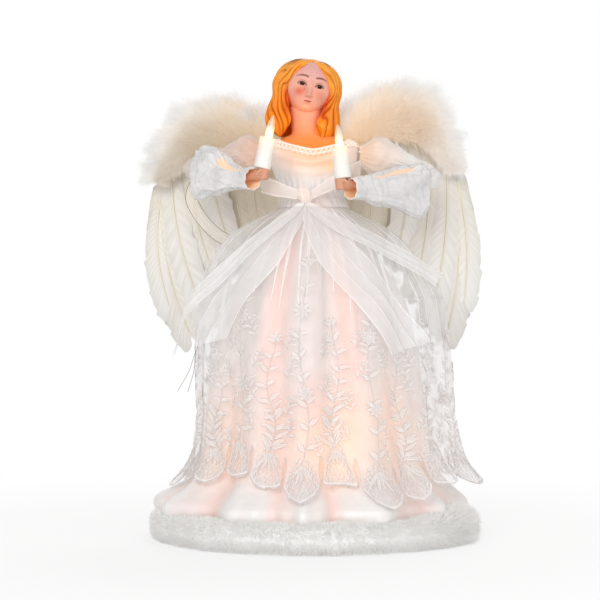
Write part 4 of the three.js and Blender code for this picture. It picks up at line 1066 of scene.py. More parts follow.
def lobe_embroidery(stitches, which, rng):
    """One lobe of the hem: a fine corded edge, a stitched tip, a net of thread and a frond down each side."""
    middle = lobe_middle(which)
    foot = float(gap_height(np.array(middle)))
    round_edge = np.sin(np.linspace(0, math.pi / 2, 40))
    down = np.concatenate([round_edge, round_edge[::-1]])
    across = np.repeat([-0.5, 0.5], 40)
    stitches.cord(*lobe_place(which, across, down), *EDGE_CORD)
    lobe_tip(stitches, which)
    for lean in (-1, 1):
        for k in range(NET_CORDS):
            start = -0.42 + NET_STEP * k
            reach = np.linspace(0, 1, 14)
            slant = np.clip(start + lean * 0.3 * (reach - 0.5), -0.4, 0.4)
            line = lobe_place(which, slant, mix(0.3, 0.88, reach))
            stitches.cord(*line, *NET_CORD, NET_TINT, sides=4)
        share = np.linspace(0, 1, 30)
        side = lean * between(FROND_SIDE, share)
        angle, z = lobe_place(which, side, mix(-0.2, 0.8, share))
        stitches.cord(angle, z, *FROND_CORD, sides=5)
        stitches.fern(angle, z, FROND_LEAVES, 6, rng, 0.42, 0.4)
    for k in range(5):
        length, bend = rng.uniform(9, 14), rng.uniform(-0.15, 0.15)
        stitches.leaf(middle, foot - 1, math.pi + 0.34 * (k - 2), length, 2.6, bend)
    return middle, foot


def lobe_tip(stitches, which):
    """The thick satin-stitched crescent at the point of a lobe."""
    rows, cols = 5, 40
    turn = np.linspace(-0.5 * math.pi, 0.5 * math.pi, cols)[None]
    deep = np.linspace(0, 1, rows)[:, None]
    down = mix(0.72, 1.0, np.cos(turn)) - 0.085 * deep * np.cos(turn) ** 0.5
    across = 0.5 * np.sin(turn) * mix(1.0, 0.9, deep)
    dome = 0.6 * np.sin(math.pi * deep) * np.cos(turn) ** 0.4
    points = over_point(*lobe_place(which, across, np.minimum(down, 1.0)), THREAD_LIFT + dome)
    uv = np.stack(np.broadcast_arrays(deep, 14 * turn), -1)
    shade = np.broadcast_to((0.5 + 0.5 * np.cos(2 * math.pi * deep))[..., None], (rows, cols, 1))
    tint = mix(THREAD_TINT, THREAD_SHADE, 0.6 * shade**3)
    looks = {"tint": tint, "light": THREAD_LIGHT, "finish": 1}
    stitches.heap.add(points, grid_faces(rows, cols), uv=uv, flip=-1, **looks)


def vine_turn(start, sway, z, low, high):
    share = (z - low) / (high - low)
    return start + sway * np.sin(2.4 * math.pi * share) * (1 - 0.4 * share)


def vine_embroidery(stitches, middle, foot, which, rng):
    """A climbing stem with long slim leaves that shorten towards its top, side sprigs and rosettes."""
    top = VINE_TOPS[which % len(VINE_TOPS)] + rng.uniform(-6, 6)
    sway = VINE_SWAYS[which % len(VINE_SWAYS)]
    z = np.linspace(foot - 4, top, 120)
    angle = vine_turn(middle, sway, z, foot, top)
    stitches.cord(angle, z, *STEM_CORD, sides=5)
    full = which % 2
    sizes, step = VINES[full]
    stitches.fern(angle[8:], z[8:], sizes, int((top - foot) / step), rng)
    if full:
        stitches.fern(angle[4:50], z[4:50], LOW_LEAVES, 5, rng, 0.3)
    else:
        for k in (44, 92):
            stitches.flower(angle[k], z[k], 5.2, 8, rng.uniform(0, 1))
            stitches.flower(angle[k], z[k], 2.4, 5, rng.uniform(0, 1))
    stitches.flower(angle[-1], top + 2, 3.8, 5)
    for k in range(4):
        turn = middle + math.pi / LOBES * rng.uniform(0.8, 1.2)
        sprig(stitches, turn, foot + 2 + 19 * k + rng.uniform(-4, 4), rng)


def sprig(stitches, turn, z, rng):
    """A short curled stem with a few leaves and a bud, between two vines."""
    lean = rng.choice((-1, 1))
    share = np.linspace(0, 1, 16)
    angle = turn + lean * 0.06 * np.sin(0.6 * math.pi * share)
    height = z + rng.uniform(8, 13) * share
    stitches.cord(angle, height, *SPRIG_CORD, sides=4)
    stitches.fern(angle, height, SPRIG_LEAVES, 3, rng, 0.42)
    stitches.flower(angle[-1], height[-1], rng.uniform(1.6, 2.6), 5, rng.uniform(0, 1))


def embroidery():
    rng = seeded("stitches")
    hem, vines = Stitches(), Stitches()
    for which in range(LOBES):
        middle, foot = lobe_embroidery(hem, which, rng)
        vine_embroidery(vines, middle, foot, which, rng)
    for stitches, name in ((hem, "hem_embroidery"), (vines, "vine_embroidery")):
        dressed(stitches.heap, name, ["thread", "cord"])


# Fur hem


def fur():
    rows, cols = 28, 240
    core = fur_point(circle(rows)[:, None], circle(cols, -math.pi)[None])
    faces = grid_faces(rows, cols, closed=True)
    piece(core, faces, "fur_backing", ["fur"], "faux_fur", replaces=["fur_hem"], tint=FUR_BACKING)
    fur_pile("fur_pile_front", -math.pi / 2, seeded("fur_front"))
    fur_pile("fur_pile_back", math.pi / 2, seeded("fur_back"))


def squarish(wave, power):
    """A sine or cosine pulled towards a square's corners."""
    return np.sign(wave) * np.abs(wave) ** power


def fur_point(psi, phi):
    """A point of the trim's backing: psi runs round its squarish section and phi round the figure."""
    lump = 0.35 * np.sin(9 * phi + 1) + 0.25 * np.sin(23 * phi + 2 * np.sin(psi)) - 0.2
    lump = lump + 1.6 * hill(phi - FUR_SEAM, 0.22) * np.maximum(0, np.sin(psi))
    radius = FUR_MIDDLE + (FUR_HALF_WIDTH + lump) * squarish(np.cos(psi), FUR_SQUARE)
    z = FUR_CENTRE_Z + (FUR_HALF_HEIGHT + lump) * squarish(np.sin(psi), FUR_SQUARE)
    return round_point(radius, phi, z)


def fur_pile(name, start, rng, count=60000, cell=3.4):
    """Half a ring of short hairs in tufts, from a start angle."""
    phi = start + rng.uniform(0, math.pi, count)
    psi = np.radians(rng.uniform(-62, 205, count))
    out = round_point(np.cos(psi), phi, np.sin(psi))
    tufts = rng.normal(0, 1, (*FUR_TUFTS, 3))
    tuft_along, tuft_round = (phi * FUR_MIDDLE / cell).astype(int), (psi * FUR_HALF_WIDTH / cell).astype(int)
    tuft = tufts[tuft_along % FUR_TUFTS[0], tuft_round % FUR_TUFTS[1]]
    aim = unit(out + 0.18 * tuft + rng.normal(0, 0.3, (count, 3)) + 0.12 * DOWN)
    length = rng.uniform(*FUR_LENGTH, count) * (1 + 1.9 * hill(phi - FUR_SEAM, 0.28))
    bend = rng.normal(0, 0.4, (count, 3)) + 0.5 * DOWN
    width = rng.uniform(*FUR_WIDTH, count)
    facing = unit(out + 0.08 * tuft - 0.5 * BACK - 0.5 * DOWN)
    side = blade_side(aim, facing, rng)
    points, faces, share = strands(fur_point(psi, phi), aim, length, bend, width, facing, side)
    points[:, 2] = np.maximum(points[:, 2], FUR_LOWEST)
    shade = np.repeat(rng.uniform(0.96, 1.0, count), len(points) // count) * mix(0.96, 1.0, share)
    piece(points, faces, name, ["fur"], "faux_fur", tint=shade[:, None] * FUR_TINT, light=FUR_LIGHT)


# Sash, bow and ribbons

# The ribbon in the lamps' warm light, painted, and in plain light
LAMPLIT_RIBBON = (0.88, 0.80, 0.76)
COOL_RIBBON = (0.94, 0.93, 0.93)
# DARK_EDGE is painted shade along the side loop's edges and the loose threads' colour
CREAM_RIBBON, DARK_EDGE = (0.84, 0.79, 0.7), (0.36, 0.33, 0.27)
KNOT_TINT, KNOT_LIGHT = (0.93, 0.84, 0.78), (0.06, 0.03, 0.015)
SASH_LIGHT, LOOP_LIGHT = (0.09, 0.07, 0.062), (0.05, 0.022, 0.01)
# Where a bow's loop runs: share of its reach, and share of its belly forwards or back
LOOP_PLAN = [(0, -0.6), (0.3, -0.9), (0.75, -1), (1, 0), (0.75, 0.45), (0.3, 0.3), (0, 0.2)]


def over_at(z, angle):
    return over_radius(skirt_share(z), angle)


def ribbon(heap, place, half, tint, creases=(), light=(0, 0, 0)):
    """A sheer band with a shiny strip on both sides and, as a painted highlight, along its creases; place
    gives its points across.
    """
    edge = RIBBON_EDGE / half
    # The strips along the creases are a painted highlight
    shiny = [(-1, -1 + edge), (1 - edge, 1)] + [(c - 0.3 * edge, c + 0.3 * edge) for c in creases]
    spread = np.unique(np.concatenate([np.linspace(-1, 1, 13), np.ravel(shiny)]))
    middle = (spread[1:] + spread[:-1]) / 2
    bright = np.any([(middle > low) & (middle < high) for low, high in shiny], axis=0).astype(int)
    points = place(spread)
    rows, cols = points.shape[:2]
    heap.add(points, grid_faces(rows, cols), tint=tint, finish=np.tile(bright, rows - 1), light=light)
    return points


def sash():
    rows, cols = 16, 240
    angle, share = band(rows, cols)
    z = mix(SASH_LOW, SASH_HIGH, share)
    tuck = np.cos(26 * angle + 5 * share + 2 * np.sin(7 * angle))
    crease = 0.35 * np.cos(3 * math.pi * share + 1.5 * np.sin(3 * angle)) + 0.3 * tuck
    points = round_point(over_at(np.minimum(z, WAIST_Z), angle) + 2 * FIT + RIBBON / 2 + crease, angle, z)
    # Painted light and shade: warmer at the front in the lamps' light, darker in the tucks
    warm = hill(angle, 0.9) * np.ones_like(share)
    tint = mix(COOL_RIBBON, LAMPLIT_RIBBON, warm[..., None]) * mix(0.9, 1.0, 0.5 + 0.5 * tuck)[..., None]
    edge = np.isin(np.arange(rows - 1), (0, rows - 2)).astype(int)
    looks = {"tint": tint, "light": SASH_LIGHT, "finish": np.repeat(edge, cols)}
    faces, node = grid_faces(rows, cols, around=True), "waist_sash"
    made = piece(points, faces, "waist_sash_band", ["sash", "edge"], "ribbon", replaces=[node], **looks)


BOW_FRONT = -(float(over_at(SASH_LOW, np.array(0.0))) + 3 * FIT + RIBBON + BOW_KNOT[1] / 2)


def bow():
    wide, deep, tall = BOW_KNOT
    rows, cols = 28, 60
    v = np.linspace(0.02, math.pi - 0.02, rows)[:, None]
    a = circle(cols)[None]
    pleat = 1 + 0.11 * np.cos(9 * a + 1.2 * np.cos(2 * v)) * np.sin(v) - 0.06 * np.cos(2 * v)
    ring = np.sin(v) ** 0.4 * pleat
    x = BOW[0] + 0.5 * wide * ring * np.sin(a) + 0.8 * np.cos(v)
    y = BOW_FRONT - 0.5 * deep * ring * np.cos(a)
    z = BOW[1] - 0.55 * tall * np.cos(v) + 0.4 * np.sin(3 * a)
    looks = {"tint": KNOT_TINT, "light": KNOT_LIGHT}
    points, faces = np.stack([x, y, z], -1), grid_faces(rows, cols, around=True)
    piece(points, faces, "bow_knot_wrap", ["sash"], "ribbon", replaces=["bow_knot"], **looks)
    for side, shape in BOW_LOOPS.items():
        bow_loop(side, *shape)


def bow_loop(side, mirror, reach, rise, belly, count=72):
    start = BOW_KNOT[0] / 2 + FIT
    line = curve([(start + s * reach, belly * y, s * rise) for s, y in LOOP_PLAN], count)
    opening = mix(0.55, 1, np.clip((line[:, 0] - start) / (0.6 * reach), 0, 1))
    flutter = 0.5 * np.sin(np.linspace(0, 16, count))
    line[:, 1] += 0.4 * flutter
    across = np.stack([0.12 * flutter, 0.35 * flutter, BOW_LOOP_WIDTH / 2 * opening], 1) * (mirror, 1, 1)
    line = line * (mirror, 1, 1) + (BOW[0], BOW_FRONT, BOW[1])
    heap = Heap()
    # Painted light: the loops are tinted as in the lamps' warm light
    flat_ribbon(heap, line, across, LAMPLIT_RIBBON, light=LOOP_LIGHT)
    name = f"bow_loop_{side}_ribbon"
    made = dressed(heap, name, ["sheer", "edge"], replaces=[f"bow_loop_{side}"])


def flat_ribbon(heap, line, across, tint, creases=(), light=(0, 0, 0)):
    """A ribbon along a line, with the half-width vector at each of its points."""
    half = np.linalg.norm(across, axis=1).max()

    def place(spread):
        return line[:, None] + across[:, None] * spread[None, :, None]

    return ribbon(heap, place, half, tint, creases, light)


def tail_points(tail, rows, spread):
    """A tail of the bow from under the knot down over the pleats, for shares of its half width."""
    narrow = BOW_KNOT[0] / 5
    knot_x = BOW[0] + tail["side"] * (narrow + FIT)
    knot_y = BOW_FRONT + (0.5 - tail["layer"]) * (RIBBON + FIT)
    share = np.linspace(0, 1, rows)[:, None]
    z = BOW[1] - BOW_KNOT[2] / 2 - FIT - tail["drop"] * share + 4 * spread * share**5
    half = mix(narrow, tail["width"] / 2, np.minimum(1, 2.4 * share) ** 0.75)
    middle = mix(math.atan2(knot_x, -knot_y), math.radians(tail["to"]), share**0.8)
    skirt = skirt_share(np.minimum(z, SASH_LOW))
    angle = middle + spread * half / np.maximum(over_radius(skirt, middle), 24)
    radius = over_radius(skirt, angle) + 2 * PLEAT_RISE * pleat_depth(skirt) + 3 * FIT
    crease = sum((hill(spread - c, 0.09) for c in tail["creases"]), 0 * spread)
    radius = radius + TAIL_CLEAR + tail["layer"] * TAIL_LAYER + tail["lift"] * share**2
    radius = radius + share * (1.5 * crease + 0.7 * np.sin(7 * share + tail["to"]))
    held = (math.hypot(knot_x, knot_y) - radius[:1]) * (1 - ease(share, 0, 0.16))
    return round_point(radius + held, angle, z)


def ribbon_tails(rows=100):
    for number, tail in enumerate(TAILS, 1):
        heap = Heap()
        half = tail["width"] / 2
        points = ribbon(heap, lambda s: tail_points(tail, rows, s[None]), half, COOL_RIBBON, tail["creases"])
        if number == FRAYED_TAIL:
            loose_threads(heap, points[-1, 0])
        name = f"ribbon_tail_{number}_sheer"
        made = dressed(heap, name, ["sheer", "edge"], replaces=[f"ribbon_tail_{number}"])


def loose_threads(heap, start):
    """Two threads that hang from a tail's corner."""
    for x, z in THREAD_ENDS:
        end = np.array((x, start[1], z))
        shape, faces, _, _ = tube(curve([start, mix(start, end, 0.5) + (1, 0, -1), end], 30), 0.2, 5)
        heap.add(shape, faces, tint=DARK_EDGE, finish=1)


def side_loop():
    """A loop of the sash's ribbon that stands out behind the left sleeve, with dark cords along its edges as
    painted shade.
    """
    line = curve(SIDE_LOOP, 90)
    along = unit(np.gradient(line, axis=0))
    across = unit(np.cross(along, (0.0, -1.0, 0.25))) * SIDE_LOOP_WIDTH / 2
    heap = Heap()
    points = flat_ribbon(heap, line, across, CREAM_RIBBON, creases=(0.2,))
    # Painted shade: dark cords along both edges
    for column in (0, -1):
        shape, faces, _, _ = tube(points[:, column], 0.28, 5)
        heap.add(shape, faces, tint=DARK_EDGE, finish=1)
    made = dressed(heap, "sash_loop_left", ["sheer", "edge"])


# Bust, bodice and lace

BODICE_WARM, BODICE_LIGHT = (0.9, 0.55, 0.36), (0.2, 0.085, 0.025)
LACE_TINT, LACE_LIGHT = (0.96, 0.88, 0.8), (0.16, 0.1, 0.06)
LACE_RINGS = 56
# Corded edges of the lace: height from the neckline, radius and height of their arches
LACE_EDGES = [(0.2, 0.5, 0.0), (-LACE_WIDTH + 1.3, 0.34, 0.0), (-LACE_WIDTH, 0.28, 1.1)]
LACE_RING_CORD, LACE_SLAT_CORD = 0.36, 0.25
# The neck's colour, and lower down in the candles' warm light, painted, with the light of each
NECK_PALE, NECK_WARM = (0.92, 0.38, 0.24), (0.8, 0.26, 0.05)
NECK_PALE_LIGHT, NECK_WARM_LIGHT = (0.09, 0.035, 0.014), (0.1, 0.035, 0.003)
NECK_LOW, NECK_HIGH = 37.5, 69


def bust_point(z, angle, grow):
    out = grow + 0.35 * np.maximum(0, z - SHOULDER_TOP)
    x = (between(BUST_WIDE, z) + out) * np.sin(angle)
    y = -(between(BUST_DEEP, z) + out) * np.cos(angle)
    return np.stack(np.broadcast_arrays(x, y, z + CONE_HEIGHT), -1)


def neckline(angle):
    return mix(NECKLINE_FRONT, NECKLINE_SIDE, np.minimum(1, np.sqrt(angle**2 + 0.004) / 1.0))


def bodice():
    rows, cols = 60, 200
    angle, share = band(rows, cols)
    z = mix(BODICE_BOTTOM - 1.5, neckline(angle), share)
    drape = 0.75 * np.sin(24 * share + 3 * np.cos(angle + 0.4)) * hill(angle, 1.0) * ease(share, 0.3, 0.7)
    tucks = 0.55 * np.cos(30 * angle) * (1 - ease(share, 0.0, 0.55))
    points = bust_point(z, angle, BODICE_EASE + CLOTH / 2 + drape + tucks)
    glow = hill(angle, 1.05) * ease(share, 0.2, 0.85)
    glow = glow + 0.7 * spot(angle, share, (0.55, 0.6), (0.3, 0.12))
    glow = np.minimum(glow, 1.3)[..., None]
    looks = {"tint": mix(SATIN_WHITE, BODICE_WARM, np.minimum(0.85 * glow, 1)), "light": glow * BODICE_LIGHT}
    faces = grid_faces(rows, cols, around=True)
    made = piece(points, faces, "bodice_satin", ["satin"], "satin", replaces=["bodice"], **looks)


def neckline_lace():
    """Two corded edges, a ladder of eyelet rings between them and a picot edge below."""
    heap = Heap()
    for edge in LACE_EDGES:
        lace_edge(heap, *edge)
    beat = np.linspace(0, 2 * math.pi, 15)
    for k in range(LACE_RINGS):
        middle = -math.pi + 2 * math.pi * k / LACE_RINGS
        ring_z = neckline(middle) - 1.4 + 1.05 * np.sin(beat)
        lace_cord(heap, ring_z, middle + 0.042 * np.cos(beat), LACE_RING_CORD, 6, 6)
        slat = middle + math.pi / LACE_RINGS
        slat_z = neckline(slat) + np.linspace(0, -LACE_WIDTH + 1.4, 6)
        lace_cord(heap, slat_z, np.full(6, slat), LACE_SLAT_CORD, 5, 4)
    dressed(heap, "neckline_lace_band", ["lace"], replaces=["neckline_lace"])


def lace_edge(heap, offset, radius, picot):
    """A cord along the neckline, in little arches if it has a picot height."""
    angle = np.linspace(-math.pi, math.pi, 721)
    z = neckline(angle) + offset + picot * np.abs(np.sin(LACE_RINGS * angle / 2))
    lace_cord(heap, z, angle, radius, 6, 160)


def lace_cord(heap, z, angle, radius, sides, stitches):
    grow = BODICE_EASE + 1.5 * CLOTH + FIT
    points, faces, share, around = tube(bust_point(z, angle, grow), radius, sides)
    uv = np.stack([around, share * stitches], -1)
    heap.add(points, faces, uv=uv, tint=LACE_TINT, light=LACE_LIGHT)


def neck_and_chest():
    rows, cols = 70, 120
    angle = circle(cols, -math.pi)[None]
    z = np.linspace(NECK_LOW, NECK_HIGH, rows)[:, None]
    points = bust_point(z, angle, 0.0)
    points[..., 0] += (HEAD_CENTRE[0] - 1.5) * ease(z, SHOULDER_TOP, 57)
    slimmer = (0.24 * np.maximum(0, z - SHOULDER_TOP))[..., None]
    points -= unit(points - points.mean(1, keepdims=True)) * slimmer
    bone = hill(z - 46.5 - 2.2 * np.abs(np.sin(angle)), 1.1) * hill(np.abs(angle) - 0.55, 0.35)
    points[..., 1] -= 0.6 * bone
    # Painted light: orange and glowing towards the bottom, in the candles' light from below
    warm = (1 - ease(z, 42, 64) * np.ones_like(angle))[..., None]
    looks = {"tint": mix(NECK_PALE, NECK_WARM, warm), "light": mix(NECK_PALE_LIGHT, NECK_WARM_LIGHT, warm)}
    faces = grid_faces(rows, cols, around=True)
    piece(points, faces, "neck_and_chest", ["skin"], "painted_resin", replaces=["head_casting"], **looks)


# Face, in head coordinates: x to the viewer's right, z up, from the middle of the head

FACE_SHAPE = [
    # x, z, spread across, spread up, how far forward; each off-centre one is mirrored
    (5.6, 2.8, 3.1, 2.1, -1.6),
    (5.6, 2.4, 2.1, 1.3, 1.1),
    (6.0, 7.4, 3.8, 1.4, 0.4),
    (7.2, -3.2, 3.6, 3.0, 1.0),
    (1.7, -4.2, 0.9, 0.8, 0.8),
    (1.0, -5.2, 0.55, 0.4, -0.5),
    (1.0, -6.9, 1.1, 0.5, 0.65),
    (2.7, -7.5, 0.6, 0.5, -0.35),
    (0, -6.1, 0.5, 0.8, -0.2),
    (0, -8.3, 1.6, 0.6, 0.85),
    (0, -7.5, 2.1, 0.2, -0.45),
    (0, -9.9, 2.8, 0.8, -0.5),
    (0, -12.4, 2.9, 2.0, 1.5),
    (12, 5, 3, 4, -0.5),
]
NOSE_RIDGE = [(-5.9, 0), (-5.0, 1.2), (-4.0, 2.9), (-2.8, 2.7), (0, 1.7), (3, 0.9), (6, 0)]
EYE = (5.6, 2.4)
EYE_HALF = 2.7
MOUTH_Z = -7.5
MOUTH_HALF = 2.6
CHIN_RISE = 0.85  # height of the head's lower half, as a share of the upper
FACE_TURN = math.radians(4)
FACE_TILT = math.radians(3)
FOREHEAD, NOSE_SHADE, NOSTRIL = (0.75, 0.42, 0.40), (0.5, 0.16, 0.1), (0.4, 0.1, 0.06)
BLUSH, LID_SHADE, LID_CREASE = (0.74, 0.15, 0.08), (0.55, 0.22, 0.18), (0.28, 0.1, 0.07)
LIP_RED, LIP_LINE, CHIN_LIGHT = (0.70, 0.16, 0.11), (0.24, 0.035, 0.02), (0.12, 0.045, 0.016)
EYE_WHITE, GLEAM = (0.62, 0.42, 0.36), (0.7, 0.62, 0.56)
IRIS, PUPIL = (0.05, 0.012, 0.004), (0.008, 0.004, 0.003)
LASH, LOWER_LASH, BROW = (0.05, 0.016, 0.009), (0.22, 0.07, 0.04), (0.2, 0.065, 0.045)


def turned_pair(first, second, angle):
    """Two coordinates turned by an angle from the second towards the first."""
    c, s = math.cos(angle), math.sin(angle)
    return first * c + second * s, second * c - first * s


def head_place(points):
    """Head coordinates to the part's frame."""
    x, y, z = np.moveaxis(np.asarray(points, float), -1, 0)
    x, z = turned_pair(x, z, HEAD_LEAN)
    return np.stack([x, y, z], -1) + HEAD_CENTRE


def spot(x, z, at, spread):
    return np.exp(-(((x - at[0]) / spread[0]) ** 2) - ((z - at[1]) / spread[1]) ** 2)


def face_relief(x, z):
    total = np.zeros_like(x)
    for at, up, wide, tall, amount in FACE_SHAPE:
        for side in ((-1, 1) if at else (1,)):
            total += amount * spot(x, z, (side * at, up), (wide, tall))
    ridge = between(NOSE_RIDGE, np.clip(z, -6.2, 6))
    return total + ridge * hill(x, 1.35 + 0.06 * np.abs(z))


def over_paint(colour, mask, paint):
    return mix(colour, paint, np.clip(mask, 0, 1)[..., None])


def line_mask(distance, width):
    return 1 - ease(np.abs(distance), 0.4 * width, width)


def face_paint(x, z):
    colour = np.broadcast_to(np.array(SKIN), (*x.shape, 3)).copy()
    # Painted light: the lower face is warmer, in the candles' light from below
    colour = over_paint(colour, 0.8 * ease(-z, 4, 13), SKIN_WARM)
    colour = over_paint(colour, 0.7 * ease(z, 1, 12), FOREHEAD)
    colour = over_paint(colour, 0.55 * spot(x, z, (-3.4, -0.4), (1.7, 2.4)), NOSE_SHADE)
    # Blush on both cheeks; the left is stronger, which also paints the shade on that side of the face
    for side, blush in ((-1, 0.92), (1, 0.5)):
        colour = over_paint(colour, blush * spot(x, z, (side * 6.3, -2.4), (3.5, 2.8)), BLUSH)
        colour = over_paint(colour, 0.35 * spot(x, z, (side * 5.6, 4.3), (3.2, 1.6)), LID_SHADE)
        colour = eye_paint(colour, side, side * x - EYE[0], z - EYE[1])
        colour = over_paint(colour, 0.4 * spot(x, z, (side * 1.0, -5.3), (0.6, 0.35)), NOSTRIL)
    across = np.clip(np.abs(x) / MOUTH_HALF, 0, 1)
    top = MOUTH_Z + 0.9 * (1 - across**2) * (1 - 0.28 * hill(x, 0.6))
    bottom = MOUTH_Z - 1.05 * (1 - np.clip(np.abs(x) / 2.2, 0, 1) ** 2)
    lips = ease(top - z, -0.25, 0.25) * ease(z - bottom, -0.25, 0.25) * (np.abs(x) < MOUTH_HALF)
    colour = over_paint(colour, 0.75 * lips, LIP_RED)
    return over_paint(colour, 0.8 * (np.abs(x) < 2.3) * line_mask(z - MOUTH_Z, 0.3), LIP_LINE)


def eye_paint(colour, side, p, q):
    """One painted eye and brow; p runs outwards from the eye's middle and q upwards."""
    q = q - 0.05 * p
    lid = 1 - (p / EYE_HALF) ** 2
    upper, lower = 1.35 * lid, -0.8 * lid
    inside = (np.abs(p) < EYE_HALF) & (q < upper) & (q > lower)
    near = np.abs(p) < EYE_HALF + 0.25
    gaze = np.hypot(p - 0.1 * side, q - 0.3)
    gleam = np.hypot(p - 0.1 * side + 0.4, q - 0.8)
    arch = 4.6 + 1.2 * (1 - ((p - 0.6) / 4.4) ** 2) - 0.12 * p
    brow = ((p > -3.2) & (p < 4.3)) * line_mask(q - arch, 0.92 * (1 - ease(p, 0.5, 4.2) * 0.6))
    for mask, paint in (
        (inside * 0.85, EYE_WHITE),
        (inside * (1 - ease(gaze, 1.35, 1.65)), IRIS),
        (inside * (1 - ease(gaze, 0.6, 0.85)), PUPIL),
        (inside * (1 - ease(gleam, 0.06, 0.2)), GLEAM),
        (0.95 * near * line_mask(q - np.maximum(upper, -0.1) - 0.1, 0.62), LASH),
        (0.6 * near * line_mask(q - np.minimum(lower, 0.1), 0.3), LOWER_LASH),
        (0.6 * near * line_mask(q - 0.9 * np.maximum(upper, 0) - 1.2, 0.34), LID_CREASE),
        (0.85 * brow, BROW),
    ):
        colour = over_paint(colour, mask, paint)
    return colour


def face():
    rings, spokes = 210, 300
    rho = math.pi * np.linspace(0.002, 0.995, rings)[:, None] ** 1.7
    beta = circle(spokes)[None]
    x = HEAD_WIDE * np.sin(rho) * np.cos(beta)
    z = HEAD_TALL * np.sin(rho) * np.sin(beta)
    y = -HEAD_DEEP * np.cos(rho) * np.ones_like(beta)
    z = np.where(z < 0, CHIN_RISE * z, z)
    jaw = ease(-z, 0, CHIN_RISE * HEAD_TALL)
    x = x * (1 - 0.27 * jaw - 0.06 * ease(z, 8, 18))
    front = np.clip(-1.7 * y / HEAD_DEEP, 0, 1)
    looks = {"tint": face_paint(x, z), "light": ease(-z, 5, 15)[..., None] * CHIN_LIGHT}
    y = y - front * (0.006 * x**2 + face_relief(x, z))
    y, x = turned_pair(y, x, FACE_TURN)
    x, z = turned_pair(x, z, FACE_TILT)
    points = head_place(np.stack([x, y + HEAD_FORWARD, z], -1))
    faces = grid_faces(rings, spokes, around=True)
    piece(points, faces, "face_painted", ["skin"], "painted_resin", flip=-1, **looks)


# Hair: two moulded curtains that fall from the parting, with a groove between each lock and the next

# Lines down the hair from the face's edge to the back, each with its place and points (out, back, up)
HAIR_LINES = [
    (
        0,
        [(0.1, -6.5, 19.4), (6, -11.2, 14), (11.3, -10.8, 7), (13, -10.2, 1)]
        + [(12, -10.5, -7), (9.8, -9.8, -14.5), (8.3, -9.6, -21), (10, -9.5, -28)],
    ),
    (
        0.22,
        [(0.1, -4.8, 20.6), (8.5, -9.6, 16.8), (15, -8.6, 10), (17.5, -8, 2.5)]
        + [(17, -9, -6), (17, -9.5, -14), (15.2, -11, -22), (13.4, -10, -32)],
    ),
    (
        0.45,
        [(0.1, -2, 21.4), (9.5, -4.5, 19), (17.5, -3.2, 11.5), (20.8, -2.2, 3.5)]
        + [(20.2, -2.5, -5.5), (22.8, -3.5, -14.5), (23.4, -4, -22), (17, -5, -30)],
    ),
    (
        0.72,
        [(0.1, 4, 21.6), (9, 5, 19.6), (16.5, 6.5, 12), (19.8, 7.5, 3)]
        + [(19.5, 8, -6), (21, 8.5, -15), (20, 8.5, -23), (14.5, 7.5, -31)],
    ),
    (
        1,
        [(0, 11, 19.2), (0, 14.5, 15), (0, 16.5, 9), (0, 17.2, 2)]
        + [(0, 17.2, -6), (0, 17.2, -15), (0, 16.5, -23), (0, 14.5, -31)],
    ),
]
HAIR_LOCKS = 7
HAIR_INSIDE = (0.75, 0.2, 0.015)
HAIR_GLOW, HAIR_INNER_GLOW = (0.2, 0.06, 0.0), (0.36, 0.06, 0.0)
HAIR_THICK = 3.2
HAIR_SLIM = 0.09  # how much narrower the right side is


def hair():
    heap = Heap()
    across, down = 160, 130
    u, v = np.linspace(0, 1, across), np.linspace(0, 1, down)[None]
    base = between([(at, curve(line, down)) for at, line in HAIR_LINES], u)
    out = unit(np.cross(np.gradient(base, axis=0), np.gradient(base, axis=1)))
    out = out * np.where((out * (base - (0, 2, -4))).sum(-1, keepdims=True) < 0, -1, 1)
    for side in (-1, 1):
        hair_side(heap, side, base, out, u[:, None], v)
    dressed(heap, "hair_moulded", ["hair"])


def there_and_back(outer, inner):
    """Joins an outer and an inner surface into rings, one for each place down the hair."""
    return np.concatenate([outer, inner[::-1]]).swapaxes(0, 1)


def hair_side(heap, side, base, out, u, v):
    """The curtain on one side: u runs from the face's edge to the back and v from the parting to the ends."""
    sway = 0.75 * np.sin(9 * v + 3 * u + side) + 0.2 * np.sin(19 * v + 11 * u)
    uneven = u + 0.028 * np.sin(13 * u + 2 * side) + 0.014 * np.sin(29 * u)
    phase = 2 * math.pi * (HAIR_LOCKS * uneven + sway * ease(v, 0.1, 0.45))
    ridge = np.abs(np.cos(phase / 2)) ** 0.75
    fine = 0.5 + 0.5 * np.cos(4 * phase + 5 * v)
    loose = ease(v, 0.04, 0.3)
    rounded = np.clip((v - 0.84) / 0.16, 0, 1)
    rise = loose * ((1.7 + 0.6 * np.sin(7 * u + 9 * v)) * ridge + 0.3 * fine) - 0.6
    rise = rise * np.sqrt(1 - 0.92 * rounded**2) - 1.2 * rounded**3
    thick = HAIR_THICK * (0.3 + 0.7 * loose) * np.sqrt(1 - 0.9 * rounded**2)
    loop = there_and_back(base + out * rise[..., None], base - out * thick[..., None])
    tint = hair_colours(u, v, ridge, fine, side)
    tint = there_and_back(tint, np.broadcast_to(HAIR_INSIDE, tint.shape))
    glow = (ease(v, 0.5, 1.0) * hill(u, 0.45))[..., None] * HAIR_GLOW
    glow = there_and_back(glow, (ease(v, 0.35, 0.7) * hill(u, 0.5))[..., None] * HAIR_INNER_GLOW)
    slim = 1 - (side > 0) * HAIR_SLIM * ease(u, 0.05, 0.4) * (1 - 0.3 * ease(v, 0.3, 0.6))
    slim = there_and_back(slim, slim)
    loop = loop * np.stack([side * slim, np.ones_like(slim), np.ones_like(slim)], -1)
    rows, cols = slim.shape
    points = head_place(loop)
    points = np.vstack([points.reshape(-1, 3), points[0].mean(0), points[-1].mean(0)])
    tint = np.vstack([tint.reshape(-1, 3), [RUSSET, RUSSET]])
    light = np.vstack([glow.reshape(-1, 3), np.zeros((2, 3))])
    heap.add(points, tube_faces(rows, cols), tint=tint, light=light, flip=-side)


